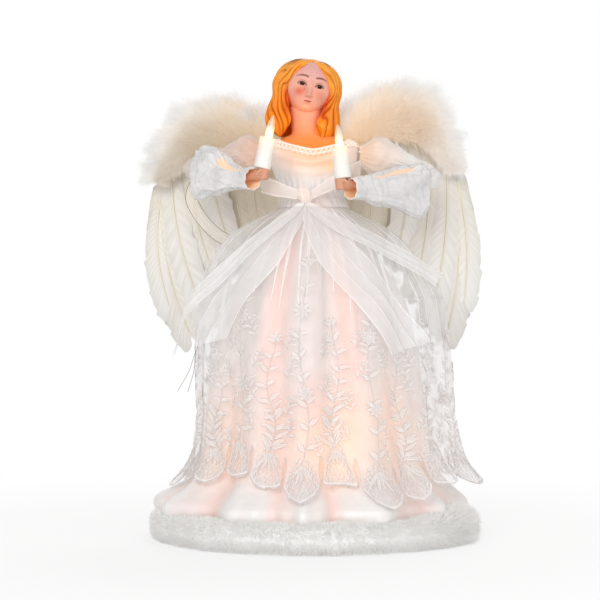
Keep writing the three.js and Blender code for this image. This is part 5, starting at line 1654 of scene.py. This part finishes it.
def hair_colours(u, v, ridge, fine, side):
    """Gold on the locks, amber lower down as painted warm light; painted shade: deep orange in the grooves
    and beside the face, brown over the crown.
    """
    # Amber lower down as painted warm light, and in the fine lines between strands as painted shade
    low = np.clip(ease(v, 0.3, 0.8) * 0.85 + 0.4 * (1 - fine), 0, 1)
    tint = mix(GOLD, AMBER, low[..., None])
    # Painted shade: deep orange in the grooves between the locks
    groove = np.clip((1 - ridge) ** 2.2 * 1.3 * ease(v, 0.08, 0.4), 0, 1)
    tint = mix(tint, RUSSET, np.clip(groove, 0, 0.85)[..., None])
    # Painted shade: deep red-orange where the hair turns in beside the face and under its ends, more on the
    # left
    beside = hill(u, 0.1) * ease(v, 0.38, 0.52) * (1 - ease(v, 0.68, 0.86))
    ends = hill(u, 0.22) * ease(v, 0.86, 0.98) * (1.0 if side < 0 else 0.3)
    tint = mix(tint, EMBER, np.clip(0.9 * beside + 0.7 * ends, 0, 0.9)[..., None])
    # Painted shade: dark brown along the crown's edge
    crown = hill(u - 0.46, 0.17) * (1 - ease(v, 0.16, 0.32 if side < 0 else 0.24))
    return mix(tint, CROWN_SHADE, np.clip(0.9 * crown, 0, 1)[..., None])


# Arms


def arm_place(points, mirror):
    return np.asarray(points, float) * (mirror, 1, 1) + (0, 0, CONE_HEIGHT)


# Each puff's colour, and in the candle's warm light, painted; the left puff's are warmer and darker
PUFF_PALE = {"left": (0.84, 0.75, 0.7), "right": (0.93, 0.92, 0.915)}
PUFF_WARM = {"left": (0.78, 0.46, 0.34), "right": (0.95, 0.68, 0.5)}
PUFF_LIGHT = (0.16, 0.075, 0.026)
ARM_STEPS = 400
PUFF_START = float(between(BUST_WIDE, SHOULDER[1])) + BODICE_EASE + CLOTH + 2 * FIT


def arm_line(arm, drop, count):
    """The arm's middle line from the shoulder to the wrist, in outward coordinates."""
    elbow, wrist = np.array(arm["elbow"], float), np.array(arm["wrist"], float)
    down = np.array((0, 0, drop))
    back, up = SHOULDER
    socket = np.array((PUFF_START, back, up)) - down
    upper = np.array((mix(PUFF_START, elbow[0], 0.5), back, mix(up, elbow[2], 0.3))) - down
    return curve([socket, upper, elbow - down, mix(elbow, wrist, 0.5) - down, wrist - 0.72 * down], count)


def cross_axes(along):
    level = unit(np.cross((0, 0, 1), along))
    return level, unit(np.cross(along, level))


def puff_sleeve(side, arm):
    puff_rows, lower_rows, cols = 44, 40, 132
    whole = arm_line(arm, ARM_LEAD_DROP / 2, ARM_STEPS + 1)
    puff_end, lower_end = int(PUFF_SHARE * ARM_STEPS), int(SLEEVE_SHARE * ARM_STEPS)
    upper = resampled(whole[: puff_end + 1], puff_rows)
    lower = resampled(whole[puff_end : lower_end + 1], lower_rows + 1)[1:]
    line = np.vstack([upper, lower])
    along = unit(np.gradient(line, axis=0))
    along[0] = (1, 0, 0)
    level, upright = cross_axes(along)
    share = np.concatenate([np.linspace(0, 1, puff_rows), np.ones(lower_rows)])[:, None]
    onward = np.concatenate([np.zeros(puff_rows), np.linspace(0, 1, lower_rows)])[:, None]
    a = circle(cols)[None]
    rng = seeded("puff", arm["mirror"])
    crumple = 2.6 * (creased(a, 1.6 * share, rng, 6) - CREASE_MEAN) * np.sin(math.pi * share)
    crumple = crumple + 0.5 * (creased(4 * a, 3 * share, rng, 4) - CREASE_MEAN) * np.sin(math.pi * share)
    pleat = np.cos(22 * a + 2 * np.sin(3 * share)) * np.abs(2 * share - 1) ** 2
    radius = between(PUFF_SWELL, share) * (1 + 0.09 * crumple + 0.05 * pleat) - CLOTH / 2
    radius = np.minimum(radius, between(PUFF_SWELL, share) + 1.6)
    wrinkle = 0.35 * np.cos(5 * a + 9 * onward) + 0.25 * np.cos(22 * onward * math.pi + 2 * np.sin(a))
    radius = mix(radius, between(SLEEVE_SLIM, onward) + wrinkle, ease(onward, 0, 0.15))
    points = line[:, None] + level[:, None] * (radius * np.cos(a))[..., None]
    points = points + upright[:, None] * (radius * np.sin(a))[..., None]
    # Painted light: warmer and glowing on the forward side, towards the candle, and pale along the top as a
    # painted highlight
    forward = np.clip(0.3 - 0.7 * np.cos(a), 0, 1) * np.clip(1.1 - share, 0, 1)
    rim = hill(a - 0.5 * math.pi, 0.3) * np.ones_like(share)
    warm = np.clip(forward - rim, 0, 1)[..., None]
    tint = mix(PUFF_PALE[side], PUFF_WARM[side], 0.9 * warm)
    looks = {"tint": tint, "light": warm * PUFF_LIGHT, "flip": arm["mirror"]}
    placed, faces = arm_place(points, arm["mirror"]), grid_faces(len(line), cols, around=True)
    name = f"sleeve_puff_{side}_organza"
    made = piece(placed, faces, name, ["puff"], "organza", None, [f"sleeve_puff_{side}"], **looks)
    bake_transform(made)


# Half sizes of the cuffs by share from the hand to the elbow, and their mouths: middle and half length
CUFFS = {
    "left": {
        "top": [(0, 6.8), (0.1, 7), (0.24, 5.8), (0.4, 5.4), (0.52, 7), (0.62, 11.5), (0.75, 13), (1, 13.4)],
        "bottom": [(0, 7), (0.15, 7.2), (0.4, 10.5), (0.7, 15.5), (1, 20)],
        "mouth": (0.38, 0.24),
    },
    "right": {
        "top": [(0, 5.2), (0.15, 5), (0.4, 6), (0.7, 7.5), (1, 9)],
        "bottom": [(0, 8), (0.15, 9), (0.4, 14), (0.7, 20), (0.9, 26), (1, 25)],
        "mouth": (0.58, 0.3),
    },
}
CUFF_WIDTH = [(0, 6.4), (0.15, 6), (0.3, 6.6), (0.45, 7.6), (0.68, 8.6), (1, 8.6)]
CUFF_OVER_HAND = 8.5
CUFF_TINT, CUFF_LINING, CUFF_LIGHT = (0.8, 0.785, 0.78), (0.93, 0.7, 0.52), (0.13, 0.06, 0.022)
CREASE_MEAN = 0.36  # the middle value of the creases
MOUTH_ANGLE, MOUTH_SPREAD = 1.95, 0.62


def creased(a, share, rng, count):
    """Sharp-topped creases that run slantwise over a sleeve, from 0 to 1."""
    total = 0
    for _ in range(count):
        turns, slant, start = rng.integers(1, 5), rng.uniform(-7, 7), rng.uniform(0, 6.3)
        total = total + (1 - np.abs(np.sin(turns * a + slant * share + start)))
    return total / count


def cuff_sleeve(side, arm):
    """A wide brocade cuff of two layers, with a slit mouth on its upper front where the lining shows."""
    rows, cols = 100, 220
    shape = CUFFS[side]
    elbow, wrist = np.array(arm["elbow"], float), np.array(arm["wrist"], float)
    along = unit(elbow - wrist)
    level, upright = cross_axes(along)
    a, share = band(rows, cols, 0.0)
    rng = seeded("cuff", arm["mirror"])
    middle, half = shape["mouth"]
    mouth = np.exp(-(((share - middle) / half) ** 4)) * np.exp(-(((a - MOUTH_ANGLE) / MOUTH_SPREAD) ** 4))
    top, bottom, wide = (between(line, share) for line in (shape["top"], shape["bottom"], CUFF_WIDTH))
    high = np.where(np.sin(a) > 0, top, bottom)
    fold = 3.8 * (creased(a, share, rng, 4) - CREASE_MEAN)
    fold = fold + 1.6 * (creased(3 * a, 2 * share, rng, 4) - CREASE_MEAN)
    fold = fold * ease(share, 0.05, 0.5) + 0.3 * np.cos(9 * a + 5 * share) * (1 - ease(share, 0.0, 0.3))
    centre = mix(wrist - along * CUFF_OVER_HAND, mix(wrist, elbow, CUFF_SHARE), share)
    layers = []
    for inset in (0.0, CLOTH):
        keep = 1 - 0.5 * mouth
        x = ((wide - inset + fold) * keep * squarish(np.cos(a), 0.85))[..., None]
        y = ((high - inset + fold) * keep * squarish(np.sin(a), 0.85))[..., None]
        layers.append(centre[:, None] + level * x + upright * y)
    stack = np.vstack([layers[0], layers[1][::-1]])
    open_face = (mouth[:-1] > 0.45).astype(int).ravel()
    lining_faces = np.ones(rows * cols, int)
    rim_faces = np.zeros(cols, int)
    lining = np.broadcast_to(CUFF_LINING, (rows, cols, 3))
    outside = mix(np.full((rows, cols, 3), CUFF_TINT), lining, ease(mouth, 0.35, 0.6)[..., None])
    glow = np.concatenate([ease(mouth, 0.4, 0.8), np.ones((rows, cols))])[..., None]
    looks = {"tint": np.concatenate([outside, lining]), "light": glow * CUFF_LIGHT, "flip": arm["mirror"]}
    looks["finish"] = np.concatenate([open_face, lining_faces, rim_faces])
    placed, faces = arm_place(stack, arm["mirror"]), grid_faces(2 * rows, cols, closed=True)
    name, node = f"sleeve_cuff_{side}_brocade", f"sleeve_cuff_{side}"
    made = piece(placed, faces, name, ["brocade", "lining"], "brocade", f"arm_{side}", [node], **looks)


# Paths through a hand from its palm: across it, towards the finger tips and up the candle
FINGER = [(-3.3, 0.5, 0), (-2.6, 3.4, 0), (1.0, 3.9, 0), (2.9, 1.6, 0)]
FINGER_SIZE = [(0, 0.8, 1), (1.15, 1.0, 0.55)]  # shares along a finger, and its radius there
THUMB = [(3.4, -1.4, -0.8), (3.6, 1.2, 1.6), (1.2, 3.6, 2.9)]
THUMB_SIZE = [(0, 0.7, 1), (1.35, 1.15, 0.6)]
WRIST_SIZE, CORE_SIZE = [(0, 0.5, 0.8, 1), (3.3, 3.3, 3.9, 3.2)], [(0, 1), (2.3, 2.3)]
HAND_SHADE = (0.72, 0.86, 1.0)
HAND_FLAT = 0.92
PALM_DROP = 3.4  # from a candle's foot down to the palm's middle
FINGERS, FIRST_FINGER, FINGER_STEP = 4, 2.5, 1.75
HAND_VOXEL = 0.28


def limb(heap, line, size, sides, flat=1.0):
    """A tapering tube; size gives shares along it and its radius there."""
    radius = np.interp(np.linspace(0, 1, len(line)), *size)
    points, faces, _, _ = tube(line, radius, sides, flat)
    heap.add(points, faces)


def hand(side, arm):
    """A closed fist below the candle: palm, four curled fingers and a thumb, melted together."""
    wrist, foot = np.array(arm["wrist"], float), np.array(arm["foot"], float)
    reach = unit((foot - wrist) * (1, 1, 0))
    level = unit(np.cross((0, 0, 1), reach))
    lean = math.radians(arm["lean"])
    axis = np.array((-math.sin(lean), 0, math.cos(lean)))
    axes = np.array([level, reach, axis])
    palm = foot - axis * PALM_DROP
    heap = Heap()
    wrist_line = [wrist + reach * 0.3, mix(wrist, palm, 0.5), palm - reach * 0.5, palm + axis * 0.5]
    limb(heap, curve(wrist_line, 24), WRIST_SIZE, 20, HAND_FLAT)
    core = palm + reach * 1.6 + axis * np.linspace(-3.4, 2.4, 12)[:, None]
    limb(heap, core, CORE_SIZE, 20, HAND_FLAT)
    for k in range(FINGERS):
        knuckle = palm + axis * (FIRST_FINGER - FINGER_STEP * k)
        limb(heap, curve(knuckle + np.array(FINGER) @ axes, 22), FINGER_SIZE, 12)
    limb(heap, curve(palm + np.array(THUMB) @ axes, 20), THUMB_SIZE, 12)
    heap.points = [arm_place(points, arm["mirror"]) for points in heap.points]
    made = heap.made(f"hand_{side}_fist", LOOK["skin"])
    melted(made)
    colours = np.tile((*SKIN_WARM, 1.0), (len(made.data.vertices), 1)).astype(np.float32)
    colours[:, :3] *= HAND_SHADE
    painted = made.data.color_attributes.new("tint", "FLOAT_COLOR", "POINT")
    painted.data.foreach_set("color", colours.ravel())
    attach(made, f"arm_{side}")
    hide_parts(f"hand_{side}")


def melted(made):
    """Joins a piece's tubes into one smooth skin."""
    remesh = made.modifiers.new("melt", "REMESH")
    remesh.mode, remesh.voxel_size = "VOXEL", HAND_VOXEL * MM
    soft = made.modifiers.new("soft", "SMOOTH")
    soft.iterations, soft.factor = 6, 0.5
    shape = bpy.data.meshes.new_from_object(made.evaluated_get(bpy.context.evaluated_depsgraph_get()))
    made.modifiers.clear()
    made.data = shape
    shape.polygons.foreach_set("use_smooth", np.ones(len(shape.polygons), bool))


def seated(points, foot, axis):
    """Points turned about +Z at the origin, moved to a foot with their +Z along an axis."""
    axis = unit(axis)
    first = unit(np.cross(axis, (0.2, 1.0, 0.1)))
    second = np.cross(axis, first)
    return foot + points[:, :1] * first + points[:, 1:2] * second + points[:, 2:] * axis


def candle_axis(arm):
    lean = math.radians(arm["lean"])
    foot = arm_place(np.array(arm["foot"], float), arm["mirror"])
    return foot, np.array((-arm["mirror"] * math.sin(lean), 0, math.cos(lean)))


# The wax, the wax in its lamp's warm light, painted, and that light
CANDLE_PALE, CANDLE_WARM, CANDLE_LIGHT = (0.86, 0.83, 0.8), (0.95, 0.78, 0.58), (1.0, 0.55, 0.22)


def candle(side, arm):
    foot, axis = candle_axis(arm)
    r, bore, tall = CANDLE_RADIUS, CANDLE_BORE, CANDLE_HEIGHT
    profile = [(0, 0), (r - 0.6, 0), (r - 0.15, 0.15), (r, 0.6), (r, 6), (r, 12), (r, tall - 0.8)]
    profile += [(r - 0.15, tall - 0.2), (r - 0.5, tall), (bore + 0.2, tall), (bore, tall - 0.3)]
    profile += [(bore, 12), (bore, 2), (0, 2)]
    points, faces = turned(profile, 48)
    up = points[:, 2] / tall
    drip = 0.22 * np.sin(5 * np.arctan2(points[:, 1], points[:, 0]) + 1) * ease(up, 0.5, 0.95)
    outside = np.hypot(points[:, 0], points[:, 1]) > bore + 0.5
    points[:, :2] *= (1 + np.where(outside, drip, 0) / r)[:, None]
    # Painted light: the wax turns warmer and glows towards the top, lit by its lamp
    warm = ease(up, 0.45, 1.0)[:, None]
    tint = mix(CANDLE_PALE, CANDLE_WARM, 0.7 * warm)
    looks = {"tint": tint, "light": (0.02 + 0.3 * warm**2) * CANDLE_LIGHT}
    placed = seated(points, foot, axis)
    name, node = f"candle_{side}_wax", f"candle_tube_{side}"
    piece(placed, faces, name, ["candle"], "candle_plastic", f"arm_{side}", [node], **looks)


def lamp_bulb(name, foot, axis, length, radius=LAMP_RADIUS):
    """A push-in lamp: plug, collar, pointed glass and a glowing filament inside."""
    heap = Heap()
    plug = [(0, -8), (1.9, -8), (2.1, -7.7), (2.1, 0), (radius + 0.3, 0), (radius + 0.5, 0.2)]
    plug += [(radius + 0.5, 0.8), (radius + 0.3, 1.0), (radius - 0.4, 1.0), (0, 1.0)]
    points, faces = turned(plug, 24)
    heap.add(seated(points, foot, axis), faces, tint=PLUG_TINT)
    t = np.linspace(0, 1, 18)
    swell = np.interp(t, *GLASS_SWELL) * radius
    glass = [(0, 1.05), *zip(swell, mix(1.05, length - 0.1, t)), (0, length)]
    points, faces = turned(glass, 28)
    up = np.clip(points[:, 2] / length, 0, 1)[:, None]
    light = mix(0.9, 0.0, ease(up, 0.3, 0.68)) * GLASS_LIGHT
    heap.add(seated(points, foot, axis), faces, tint=GLASS_TINT, light=light, finish=1)
    inner = slice(1, 14)
    core = [(0, 1.3), *zip(0.5 * swell[inner], mix(1.4, 0.55 * length, t[inner])), (0, 0.57 * length)]
    points, faces = turned(core, 16)
    heap.add(seated(points, foot, axis), faces, tint=FILAMENT_TINT, light=FILAMENT_LIGHT, finish=2)
    dressed(heap, f"{name}_bulb", ["holder", "glass", "filament"], name, [name])


def skirt_lamps():
    cone_slope = math.atan2(CONE_BASE_RADIUS - CONE_TOP_RADIUS, CONE_HEIGHT)
    for name, middle in LAMPS.items():
        outward = unit(middle * (1, 1, 0))
        axis = outward * math.cos(cone_slope) + np.array((0, 0, math.sin(cone_slope)))
        lamp_bulb(name, middle - axis * SKIRT_LAMP_SEAT, axis, SKIRT_LAMP_LENGTH)


def arms():
    for side, arm in ARMS.items():
        puff_sleeve(side, arm)
        hand(side, arm)
        cuff_sleeve(side, arm)
        candle(side, arm)
        foot, axis = candle_axis(arm)
        lamp_bulb(f"candle_lamp_{side}", foot + axis * CANDLE_SEAT, axis, CANDLE_LAMP_LENGTH)


# Wings

CANDLES = [box_middle(f"candle_lamp_{side}") for side in ARMS]
CANDLE_SPREAD, CANDLE_STRENGTH = 80, 0.16
FEATHER_OUTLINE = [(0, 0.3), (0.15, 0.7), (0.4, 1), (0.75, 1), (0.9, 0.8), (0.97, 0.5), (1, 0.15)]
INNER_FEATHERS = [(0.14, (18, -38)), (0.24, (30, -54)), (0.34, (40, -60))]
INNER_WIDTH = 20
RIB_TAN = (0.7, 0.6, 0.43)
RIB_STEPS, ARCH_STEPS = 200, 400
QUILL_END, QUILL_STEP = 194, 3  # the quill's last point on the rib, and its step
QUILL_LIFT = (0, -0.35, 0)
BOA_SWELL = [(0, 0.35), (0.2, 0.8), (0.5, 1), (0.8, 0.8), (1, 0.45)]


def candle_glow(points):
    """The candles' warm light on points of the wings."""
    return CANDLE_STRENGTH * nearness(points, CANDLES, CANDLE_SPREAD)[:, None] * WING_GLOW


def on_wing(wing, points):
    """A point of the wing's plane (out, up), spread, tilted and lowered as its own wing is."""
    points = np.asarray(points, float)
    x, z = turned_pair(wing["reach"] * points[..., 0], points[..., 1], wing["tilt"])
    return np.stack([x, np.zeros_like(x), z - wing["drop"]], -1)


def wing_place(points, mirror):
    """A point of the wing's own space (out, back, up) in the part's frame."""
    x, y, z = np.moveaxis(np.asarray(points, float), -1, 0)
    y, x = turned_pair(y, x, WING_SWEEP)
    out, back, up = WING_ROOT
    return np.stack([mirror * (x + out), y + back, z + up], -1)


def wing_arch(wing):
    return curve(on_wing(wing, WING_ARCH), ARCH_STEPS + 1)


def feather_list(wing):
    """Long feathers of the wing, shorter ones between them, and cream ones by the body in a layer behind."""
    made = [(at, tip, width, i % 2, 0.12 + 0.2 * (i % 2)) for i, (at, tip, width) in enumerate(FEATHERS)]
    for (at, tip, width), (next_at, next_tip, _) in zip(FEATHERS, FEATHERS[1:]):
        middle = (mix(tip[0], next_tip[0], 0.5), mix(tip[1], next_tip[1], 0.5) + 6)
        made.append((mix(at, next_at, 0.5), middle, width, 2, 0.45))
    made = made + [(at, tip, INNER_WIDTH, 3, 0.9) for at, tip in INNER_FEATHERS]
    return [(at, (wing["spread"] * x, wing["length"] * z), *rest) for at, (x, z), *rest in made]


def feather_rib(wing, at, tip, layer, rng):
    """The midrib of a feather, from the wing's arch in a bow down to its tip."""
    root = wing_arch(wing)[int(at * ARCH_STEPS)]
    end = on_wing(wing, tip)
    swing = (mix(root[0], end[0], 0.35) + 0.1 * (root[2] - end[2]), 0, mix(root[2], end[2], 0.5))
    share = np.linspace(0, 1, RIB_STEPS)
    t = share[:, None]
    rib = resampled((1 - t) ** 2 * root + 2 * t * (1 - t) * np.array(swing) + t**2 * end, RIB_STEPS)
    bow = 1.6 * np.sin(math.pi * share) * (layer < 2)
    rib[:, 1] = 1.1 * layer + 0.6 - bow + rng.uniform(-1.2, 1.2) * share**2
    return rib


def feather(vane, quill, wing, spec, rng):
    """A feather with a tan midrib and a smooth vane on each side, which is parted in two or three places."""
    at, tip, width, layer, creamy = spec
    rib = feather_rib(wing, at, tip, layer, rng)
    along = unit(np.gradient(rib, axis=0))
    shaft = rib[:QUILL_END:QUILL_STEP] + QUILL_LIFT
    shape, faces, _, _ = tube(shaft, np.linspace(0.75, 0.25, len(shaft)), 8)
    quill.add(wing_place(shape, wing["mirror"]), faces, tint=RIB_TAN, flip=wing["mirror"])
    for side in (-1, 1):
        parted = [0.05, rng.uniform(0.35, 0.5), rng.uniform(0.58, 0.7), rng.uniform(0.78, 0.9), 0.995]
        streaks = waves(rng, 3, 60, 190)
        for low, high in zip(parted, parted[1:]):
            vane_piece(vane, wing, (rib, along, side), (low, high), 0.5 * width, (creamy, streaks))


def vane_piece(vane, wing, line, span, half, colouring):
    """A stretch of a vane between two partings: barbs that run out and on, bent back at the margin."""
    rib, along, side = line
    low, high = span
    creamy, streaks = colouring
    rows, cols = int(110 * (high - low)) + 6, 9
    place = np.linspace(low, high, rows)
    run = (place - low) / (high - low)
    k = (place * (RIB_STEPS - 1)).astype(int)
    half = half * between(FEATHER_OUTLINE, place) * (1.0 if side > 0 else 0.86)
    slant = mix(1.0, 0.5, place)
    length = half / np.sin(slant) * (1 + 0.02 * np.sin(61 * place + side))
    slant = slant - 0.17 * run**9 + 0.1 * (1 - run) ** 9
    direction = along[k]
    across = unit(np.cross(direction, (0, 1, 0))) * side
    out = across * np.sin(slant)[:, None] + direction * np.cos(slant)[:, None]
    u = np.linspace(0, 1, cols)[None, :, None]
    reach = length[:, None, None]
    back = 0.16 * half[:, None, None] * u**1.5 + 0.25 * np.sin(26 * place)[:, None, None] * u
    points = rib[k][:, None] + out[:, None] * reach * u + direction[:, None] * 0.1 * reach * u**2
    points = points + BACK * back
    cream = creamy + 0.5 * (1 - place)[:, None, None] ** 1.5
    tint = mix(VANE_WHITE, FEATHER_CREAM, np.clip(cream + 0 * u, 0, 1))
    tint = mix(tint, RIB_TAN, 0.4 * hill(u, 0.1))
    streak = wobble(place, *streaks)[:, None, None] * np.sin(math.pi * u)
    tint = tint * (0.93 + 0.07 * streak - 0.1 * u**3)
    placed = wing_place(points.reshape(-1, 3), wing["mirror"])
    uv = np.stack(np.broadcast_arrays(u[..., 0], 60 * place[:, None]), -1)
    looks = {"tint": tint, "light": 0.5 * candle_glow(placed), "flip": side * wing["mirror"]}
    vane.add(placed, grid_faces(rows, cols), uv=uv, **looks)


def feathers():
    for side, wing in WINGS.items():
        rng = seeded("feathers", wing["mirror"])
        vane, quill = Heap(), Heap()
        for spec in feather_list(wing):
            feather(vane, quill, wing, spec, rng)
        body = f"wing_{side}"
        dressed(vane, f"{body}_vanes", ["feather"], body, [f"wing_feathers_{side}"])
        dressed(quill, f"{body}_quills", ["quill"], body)


def boa_frame(wing, share):
    """Places along the boa with their directions, how full it is there and how far it reaches outwards."""
    arch = wing_arch(wing)
    along = unit(np.gradient(arch, axis=0))
    k = np.clip((share * wing["until"] * ARCH_STEPS).astype(int), 0, ARCH_STEPS)
    normal = unit(np.stack([-along[:, 2], np.zeros(len(along)), along[:, 0]], 1))
    outer = BOA_OUT * (1 - wing["bare"] * ease(share, 0.5, 0.85))
    return arch[k], along[k], normal[k], between(BOA_SWELL, share), outer


def boa_root(frame_at, v, depth):
    """Places in the boa: v runs across it from -1 to 1, and depth is forwards or back from its middle."""
    place, _, normal, swell, outer = frame_at
    offset = swell * mix(-BOA_IN, outer, (v + 1) / 2)
    return place + normal * offset[:, None] + BACK * (depth - FIT - BOA_DEPTH)[:, None]


def marabou():
    for side, wing in WINGS.items():
        rng = seeded("marabou", wing["mirror"])
        boa_core(side, wing)
        boa_down(f"marabou_{side}_down", side, wing, rng)
        boa_wisps(f"marabou_{side}_wisps", side, wing, rng)


def boa_core(side, wing):
    """The boa's dense middle, which the down grows on."""
    rows, cols = 60, 24
    place, _, normal, swell, outer = boa_frame(wing, np.linspace(0.04, 1, rows))
    a = circle(cols)
    middle, half = (outer - BOA_IN)[:, None] / 2, 0.47 * (outer + BOA_IN)[:, None]
    ring = normal[:, None] * (swell[:, None] * (middle + half * np.cos(a)[None]))[..., None]
    ring = ring + BACK * np.sin(a)[None, :, None] * (0.7 * BOA_DEPTH * swell)[:, None, None]
    points = place[:, None] + ring - (FIT + BOA_DEPTH) * BACK
    points = np.vstack([points.reshape(-1, 3), points[0].mean(0), points[-1].mean(0)])
    placed = wing_place(points, wing["mirror"])
    looks = {"tint": DOWN_TAN[side], "light": candle_glow(placed), "flip": -wing["mirror"]}
    name, node = f"marabou_{side}_core", f"wing_marabou_{side}"
    piece(placed, tube_faces(rows, cols), name, ["down"], "marabou", f"wing_{side}", [node], **looks)


def boa_down(name, side, wing, rng, count=62000):
    """The combed down on the boa's front and back, tan towards the body and cream at its outer edge."""
    run = rng.uniform(0.03, 1.0, count)
    frame_at = boa_frame(wing, run)
    place, along, normal, swell, _ = frame_at
    v = rng.uniform(-1, 1, count)
    front = np.where(rng.uniform(0, 1, count) < 0.68, -1.0, 1.0)
    dome = np.sqrt(1 - 0.9 * v**2)
    root = boa_root(frame_at, v, front * swell * 0.75 * BOA_DEPTH * dome)
    tufts = rng.normal(0, 1, (*DOWN_TUFTS, 3))
    tuft_along, tuft_across = (along[:, 0] * 37 + place[:, 0] * 0.4).astype(int), (v * 6 + 6).astype(int)
    tuft = tufts[tuft_along % DOWN_TUFTS[0], tuft_across % DOWN_TUFTS[1]]
    comb = normal * (0.55 + 0.5 * v)[:, None] + 0.5 * along + BACK * (0.22 * front * dome)[:, None]
    aim = unit(comb + 0.16 * tuft + rng.normal(0, 0.2, (count, 3)))
    length = rng.uniform(*DOWN_LENGTH, count) * (0.55 + 0.45 * swell)
    bend = rng.normal(0, 0.8, (count, 3)) + 0.6 * DOWN
    facing = unit(BACK * front[:, None] + 0.35 * normal * v[:, None])
    blade = blade_side(aim, facing, rng)
    width = rng.uniform(*DOWN_WIDTH, count)
    points, faces, share = strands(root, aim, length, bend, width, facing, blade)
    lower = 0.6 * wing["bare"] * ease(run, 0.55, 0.85)
    white = np.clip(ease(v, -0.3, 0.75) + lower, 0, 1) * mix(0.4, 1, ease(run, 0.3, 0.75))
    every = len(points) // count
    pale = np.repeat(white, every)[:, None] * 0.85 + 0.15 * share[:, None]
    tone = np.repeat(rng.uniform(0.93, 1.0, count), every)[:, None]
    placed = wing_place(points, wing["mirror"])
    tint, light = mix(DOWN_TAN[side], DOWN_CREAM, pale) * tone, candle_glow(placed) + DOWN_LIGHT * pale
    looks = {"tint": tint, "light": light, "flip": wing["mirror"]}
    piece(placed, faces, name, ["down"], "marabou", f"wing_{side}", **looks)


def boa_wisps(name, side, wing, rng, count=12000):
    """Fine loose wisps that stand off the boa's outer edge, in tufts."""
    frame_at = boa_frame(wing, rng.uniform(0.05, 1.0, count))
    place, along, normal, swell, _ = frame_at
    v = rng.uniform(0.45, 1.0, count)
    tufts = rng.normal(0, 1, (WISP_TUFTS, 3))
    tuft = tufts[((place[:, 0] - place[:, 2]) / 3.1).astype(int) % WISP_TUFTS]
    root = boa_root(frame_at, v, rng.uniform(-0.6, 0.6, count) * BOA_DEPTH)
    aim = unit(normal + 0.42 * along + 0.42 * tuft + rng.normal(0, 0.2, (count, 3)))
    length = rng.uniform(*WISP_LENGTH, count) * (0.45 + 0.55 * swell) * (1 + 0.35 * tuft[:, 0].clip(-1, 1))
    bend = rng.normal(0, 1.8, (count, 3)) + 2.2 * along
    facing = np.broadcast_to(-BACK, (count, 3))
    blade = blade_side(aim, facing, rng)
    width = rng.uniform(*WISP_WIDTH, count)
    points, faces, share = strands(root, aim, length, bend, width, facing, blade, 4)
    tint = mix(DOWN_CREAM, WISP_WHITE, np.clip(1.6 * share, 0, 1)[:, None])
    looks = {"tint": tint, "light": np.full(3, DOWN_LIGHT), "flip": wing["mirror"]}
    piece(wing_place(points, wing["mirror"]), faces, name, ["down"], "marabou", f"wing_{side}", **looks)


# Inner pieces keep their solids and get their finish


def inner_finishes():
    looks = {"cone_shell": "white_plastic", "torso_core": "white_plastic", "wing_bracket": "white_plastic"}
    looks.update({"cord_grommet": "rubber", "light_string_wire": "wire"})
    for side in ARMS:
        looks.update({f"arm_wire_{side}": "steel", f"wing_stem_{side}": "steel"})
        looks.update({f"candle_lead_{side}": "wire", f"candle_holder_{side}": "holder"})
    looks.update({f"lamp_holder_{i + 1}": "holder" for i in range(LAMP_COUNT)})
    for node, look in looks.items():
        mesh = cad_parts[node].data
        mesh.materials.clear()
        mesh.materials.append(LOOK[look])


camera_and_light()
white_world()
floor()
satin_skirt()
overskirt()
embroidery()
fur()
sash()
bow()
ribbon_tails()
side_loop()
bodice()
neckline_lace()
neck_and_chest()
face()
hair()
arms()
skirt_lamps()
feathers()
marabou()
inner_finishes()
